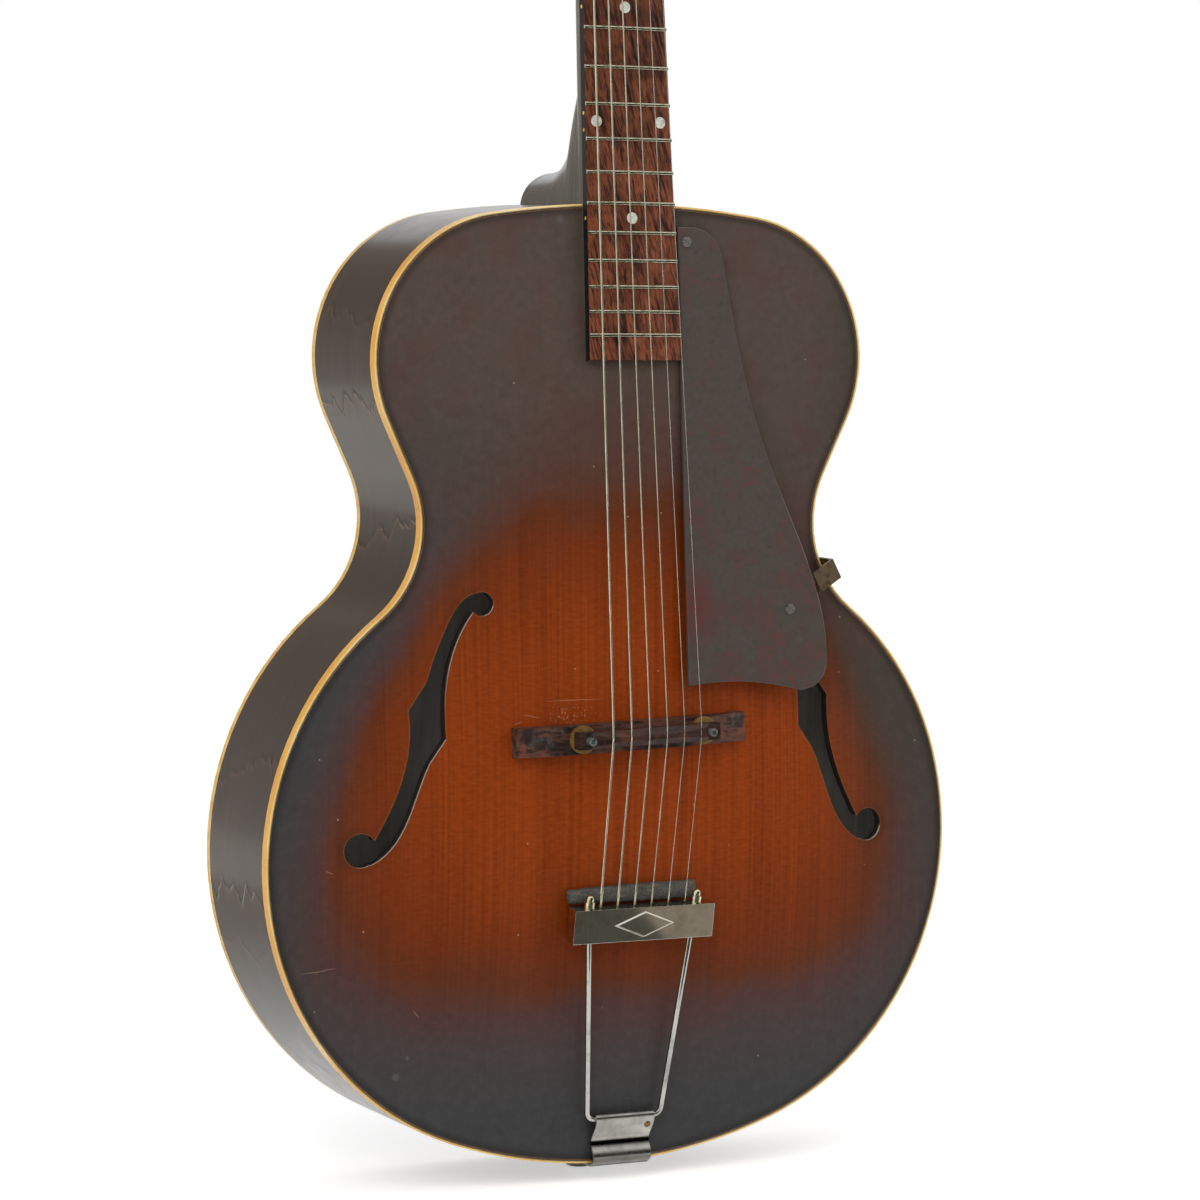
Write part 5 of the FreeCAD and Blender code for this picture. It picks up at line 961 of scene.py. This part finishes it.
# Cards that only glossy surfaces see: what each is, its colour at its first edge and from near its middle
# to the opposite edge, and its corners
CARDS = (
    ("Dark front card", "#141414", "#2a2622",
     ((-0.4, -1.5, 0.0), (2.4, -1.1, 0.0), (2.4, -1.1, 1.2), (-0.4, -1.5, 1.2))),
    ("Brown back card", "#d8d1ca", "#a4958c",
     ((-3.4, 2.2, -0.01), (0.1, 2.2, -0.01), (0.1, 2.2, 2.6), (-3.4, 2.2, 2.6))),
    ("Upper back card", "#a4958c", "#ffffff",
     ((-3.4, 2.2, 2.6), (0.1, 2.2, 2.6), (0.1, 2.2, 9.0), (-3.4, 2.2, 9.0))),
    ("Back floor card", "#fafaf8", "#d2cbc4",
     ((-2.6, 0.16, -0.005), (0.3, 0.16, -0.005), (0.3, 0.75, -0.005), (-2.6, 0.75, -0.005))),
    ("Far floor card", "#fffaf0", "#fffaf0",
     ((-3.4, 0.75, -0.005), (0.3, 0.75, -0.005), (0.3, 2.2, -0.005), (-3.4, 2.2, -0.005))),
    ("Dark floor card", "#1c1a18", "#1c1a18",
     ((-0.4, -1.45, -0.002), (1.6, -1.2, -0.002), (1.6, -0.43, -0.002), (-0.4, -0.43, -0.002))),
    ("Black floor card", "#555550", "#555550",
     ((-0.5, -0.43, 0.0), (0.155, -0.43, 0.0), (0.148, -0.26, 0.0), (-0.5, -0.26, 0.0))),
    ("Grey floor card", "#968f86", "#968f86",
     ((0.155, -0.43, 0.0), (0.36, -0.43, 0.0), (0.36, -0.26, 0.0), (0.148, -0.26, 0.0))),
)
CAMERA_LENS = 129.18
CAMERA_PLACE = (-1.04019, -2.10575, 0.48950)
CAMERA_RIGHT = (0.89548, -0.44491, 0.01292)
CAMERA_DOWN = (-0.02364, -0.07652, -0.99679)
CAMERA_AHEAD = (0.44447, 0.89230, -0.07904)
LAMP_AIM = (0, 0, 0.35)


def add_camera(scene):
    """A long lens to the left of the guitar, looking a little down, as in the photograph."""
    lens = bpy.data.cameras.new("Camera")
    lens.sensor_fit = "HORIZONTAL"
    lens.sensor_width = 36.0
    lens.lens = CAMERA_LENS
    lens.clip_end = 50.0
    camera = bpy.data.objects.new("Camera", lens)
    scene.collection.objects.link(camera)
    axes = (Vector(CAMERA_RIGHT), -Vector(CAMERA_DOWN), -Vector(CAMERA_AHEAD))
    camera.matrix_world = Matrix.Translation(CAMERA_PLACE) @ Matrix(axes).transposed().to_4x4()
    scene.camera = camera


def add_floor():
    """A white floor under the end pin, lifted to white for the camera and for reflections."""
    builder = bmesh.new()
    bmesh.ops.create_grid(builder, x_segments=2, y_segments=2, size=14.0,
                          matrix=Matrix.Translation((0, 0, CAD_BOX[0][2])))
    material, tree, place = start_material("White studio floor")
    grain = add(tree, NOISE, {"Vector": place, "Scale": per(330)})
    white = add(tree, RAMP, grain, stops=[(0.0, "#f4f4f4"), (1.0, "#fafafa")])
    coat(material, white, (grain, 0.1, 0.85), specular=0.0)
    seen = add(tree, "ShaderNodeLightPath").node.outputs
    glow = add(tree, LARGER, seen["Is Camera Ray"], seen["Is Glossy Ray"])
    glow = add(tree, TIMES, glow, 0.5)
    inputs = tree.nodes["Principled BSDF"].inputs
    inputs["Emission Color"].default_value = linear("#ffffff")
    tree.links.new(glow, inputs["Emission Strength"])
    piece("Floor", builder, material)


def add_card(name, low, high, corners):
    """A plain card that only glossy surfaces see, graded from its first edge to the opposite one."""
    builder = bmesh.new()
    builder.faces.new([builder.verts.new(corner) for corner in corners])
    material, tree, place = start_material(name)
    rise = Vector(corners[3]) - Vector(corners[0])
    way = add(tree, AWAY, place, corners[0])
    way = add(tree, DOT, way, rise / rise.length_squared, out=1)
    tone = add(tree, RAMP, way, stops=[(0.0, low), (0.45, high)])
    glow = add(tree, "ShaderNodeEmission", {"Color": tone})
    tree.links.new(glow, tree.nodes["Material Output"].inputs["Surface"])
    shown = piece(name, builder, material)
    for ray in ("camera", "diffuse", "shadow", "transmission"):
        setattr(shown, "visible_" + ray, False)


def add_room(scene, stage):
    """A white room: soft light on matt surfaces, plain white to the camera and in reflections."""
    world = bpy.data.worlds.new("White room")
    scene.world = world
    world.use_nodes = True
    tree = world.node_tree
    seen = add(tree, "ShaderNodeLightPath").node.outputs
    direct = add(tree, LARGER, seen["Is Camera Ray"], seen["Is Glossy Ray"])
    direct = add(tree, LARGER, direct, seen["Is Transmission Ray"])
    level = add(tree, RANGE, {0: direct, 3: stage.sky, 4: 1.0})
    background = tree.nodes["Background"]
    background.inputs["Color"].default_value = linear("#ffffff")
    tree.links.new(level, background.inputs["Strength"])


def add_lamp(scene, name, place, size, power):
    """A large soft lamp that faces the guitar's body and stays out of reflections."""
    lamp = bpy.data.lights.new(name, "AREA")
    lamp.shape = "SQUARE"
    lamp.size = size
    lamp.energy = power
    light = bpy.data.objects.new(name, lamp)
    scene.collection.objects.link(light)
    light.location = place
    aim = Vector(LAMP_AIM) - Vector(place)
    light.rotation_euler = aim.to_track_quat("-Z", "Y").to_euler()
    light.visible_glossy = False


class GUITAR_OT_stage(bpy.types.Operator):
    """Set the floor, lights, room and camera"""
    bl_idname = "guitar.stage"
    bl_label = "Stage"

    def execute(self, context):
        scene = context.scene
        stage = scene.guitar_stage
        scene.view_settings.view_transform = "Standard"
        add_camera(scene)
        add_floor()
        for card in CARDS:
            add_card(*card)
        add_room(scene, stage)
        add_lamp(scene, "Key light", (-1.6, -1.9, 1.9), 1.6, stage.key)
        add_lamp(scene, "Fill light", (1.9, -1.6, 1.0), 1.4, stage.fill)
        return {"FINISHED"}


class GUITAR_PT_panel(bpy.types.Panel):
    bl_idname = "GUITAR_PT_panel"
    bl_label = "Archtop guitar"
    bl_space_type = "VIEW_3D"
    bl_region_type = "UI"
    bl_category = "Guitar"

    def draw(self, context):
        for operator in OPERATORS:
            self.layout.operator(operator.bl_idname)


OPERATORS = (GUITAR_OT_stage, GUITAR_OT_body, GUITAR_OT_neck, GUITAR_OT_tuners, GUITAR_OT_tailpiece,
             GUITAR_OT_bridge, GUITAR_OT_pickguard, GUITAR_OT_strings, GUITAR_OT_pad)
GROUPS = (GuitarFinish, GuitarStrings, GuitarStage)


def register():
    for kind in GROUPS + OPERATORS + (GUITAR_PT_panel,):
        bpy.utils.register_class(kind)
    bpy.types.Scene.guitar_finish = PointerProperty(type=GuitarFinish)
    bpy.types.Scene.guitar_strings = PointerProperty(type=GuitarStrings)
    bpy.types.Scene.guitar_stage = PointerProperty(type=GuitarStage)


def unregister():
    del bpy.types.Scene.guitar_stage
    del bpy.types.Scene.guitar_strings
    del bpy.types.Scene.guitar_finish
    for kind in reversed(GROUPS + OPERATORS + (GUITAR_PT_panel,)):
        bpy.utils.unregister_class(kind)


def main():
    register()
    for operator in OPERATORS:
        group, name = operator.bl_idname.split(".")
        getattr(getattr(bpy.ops, group), name)()


if __name__ == "__main__":
    main()
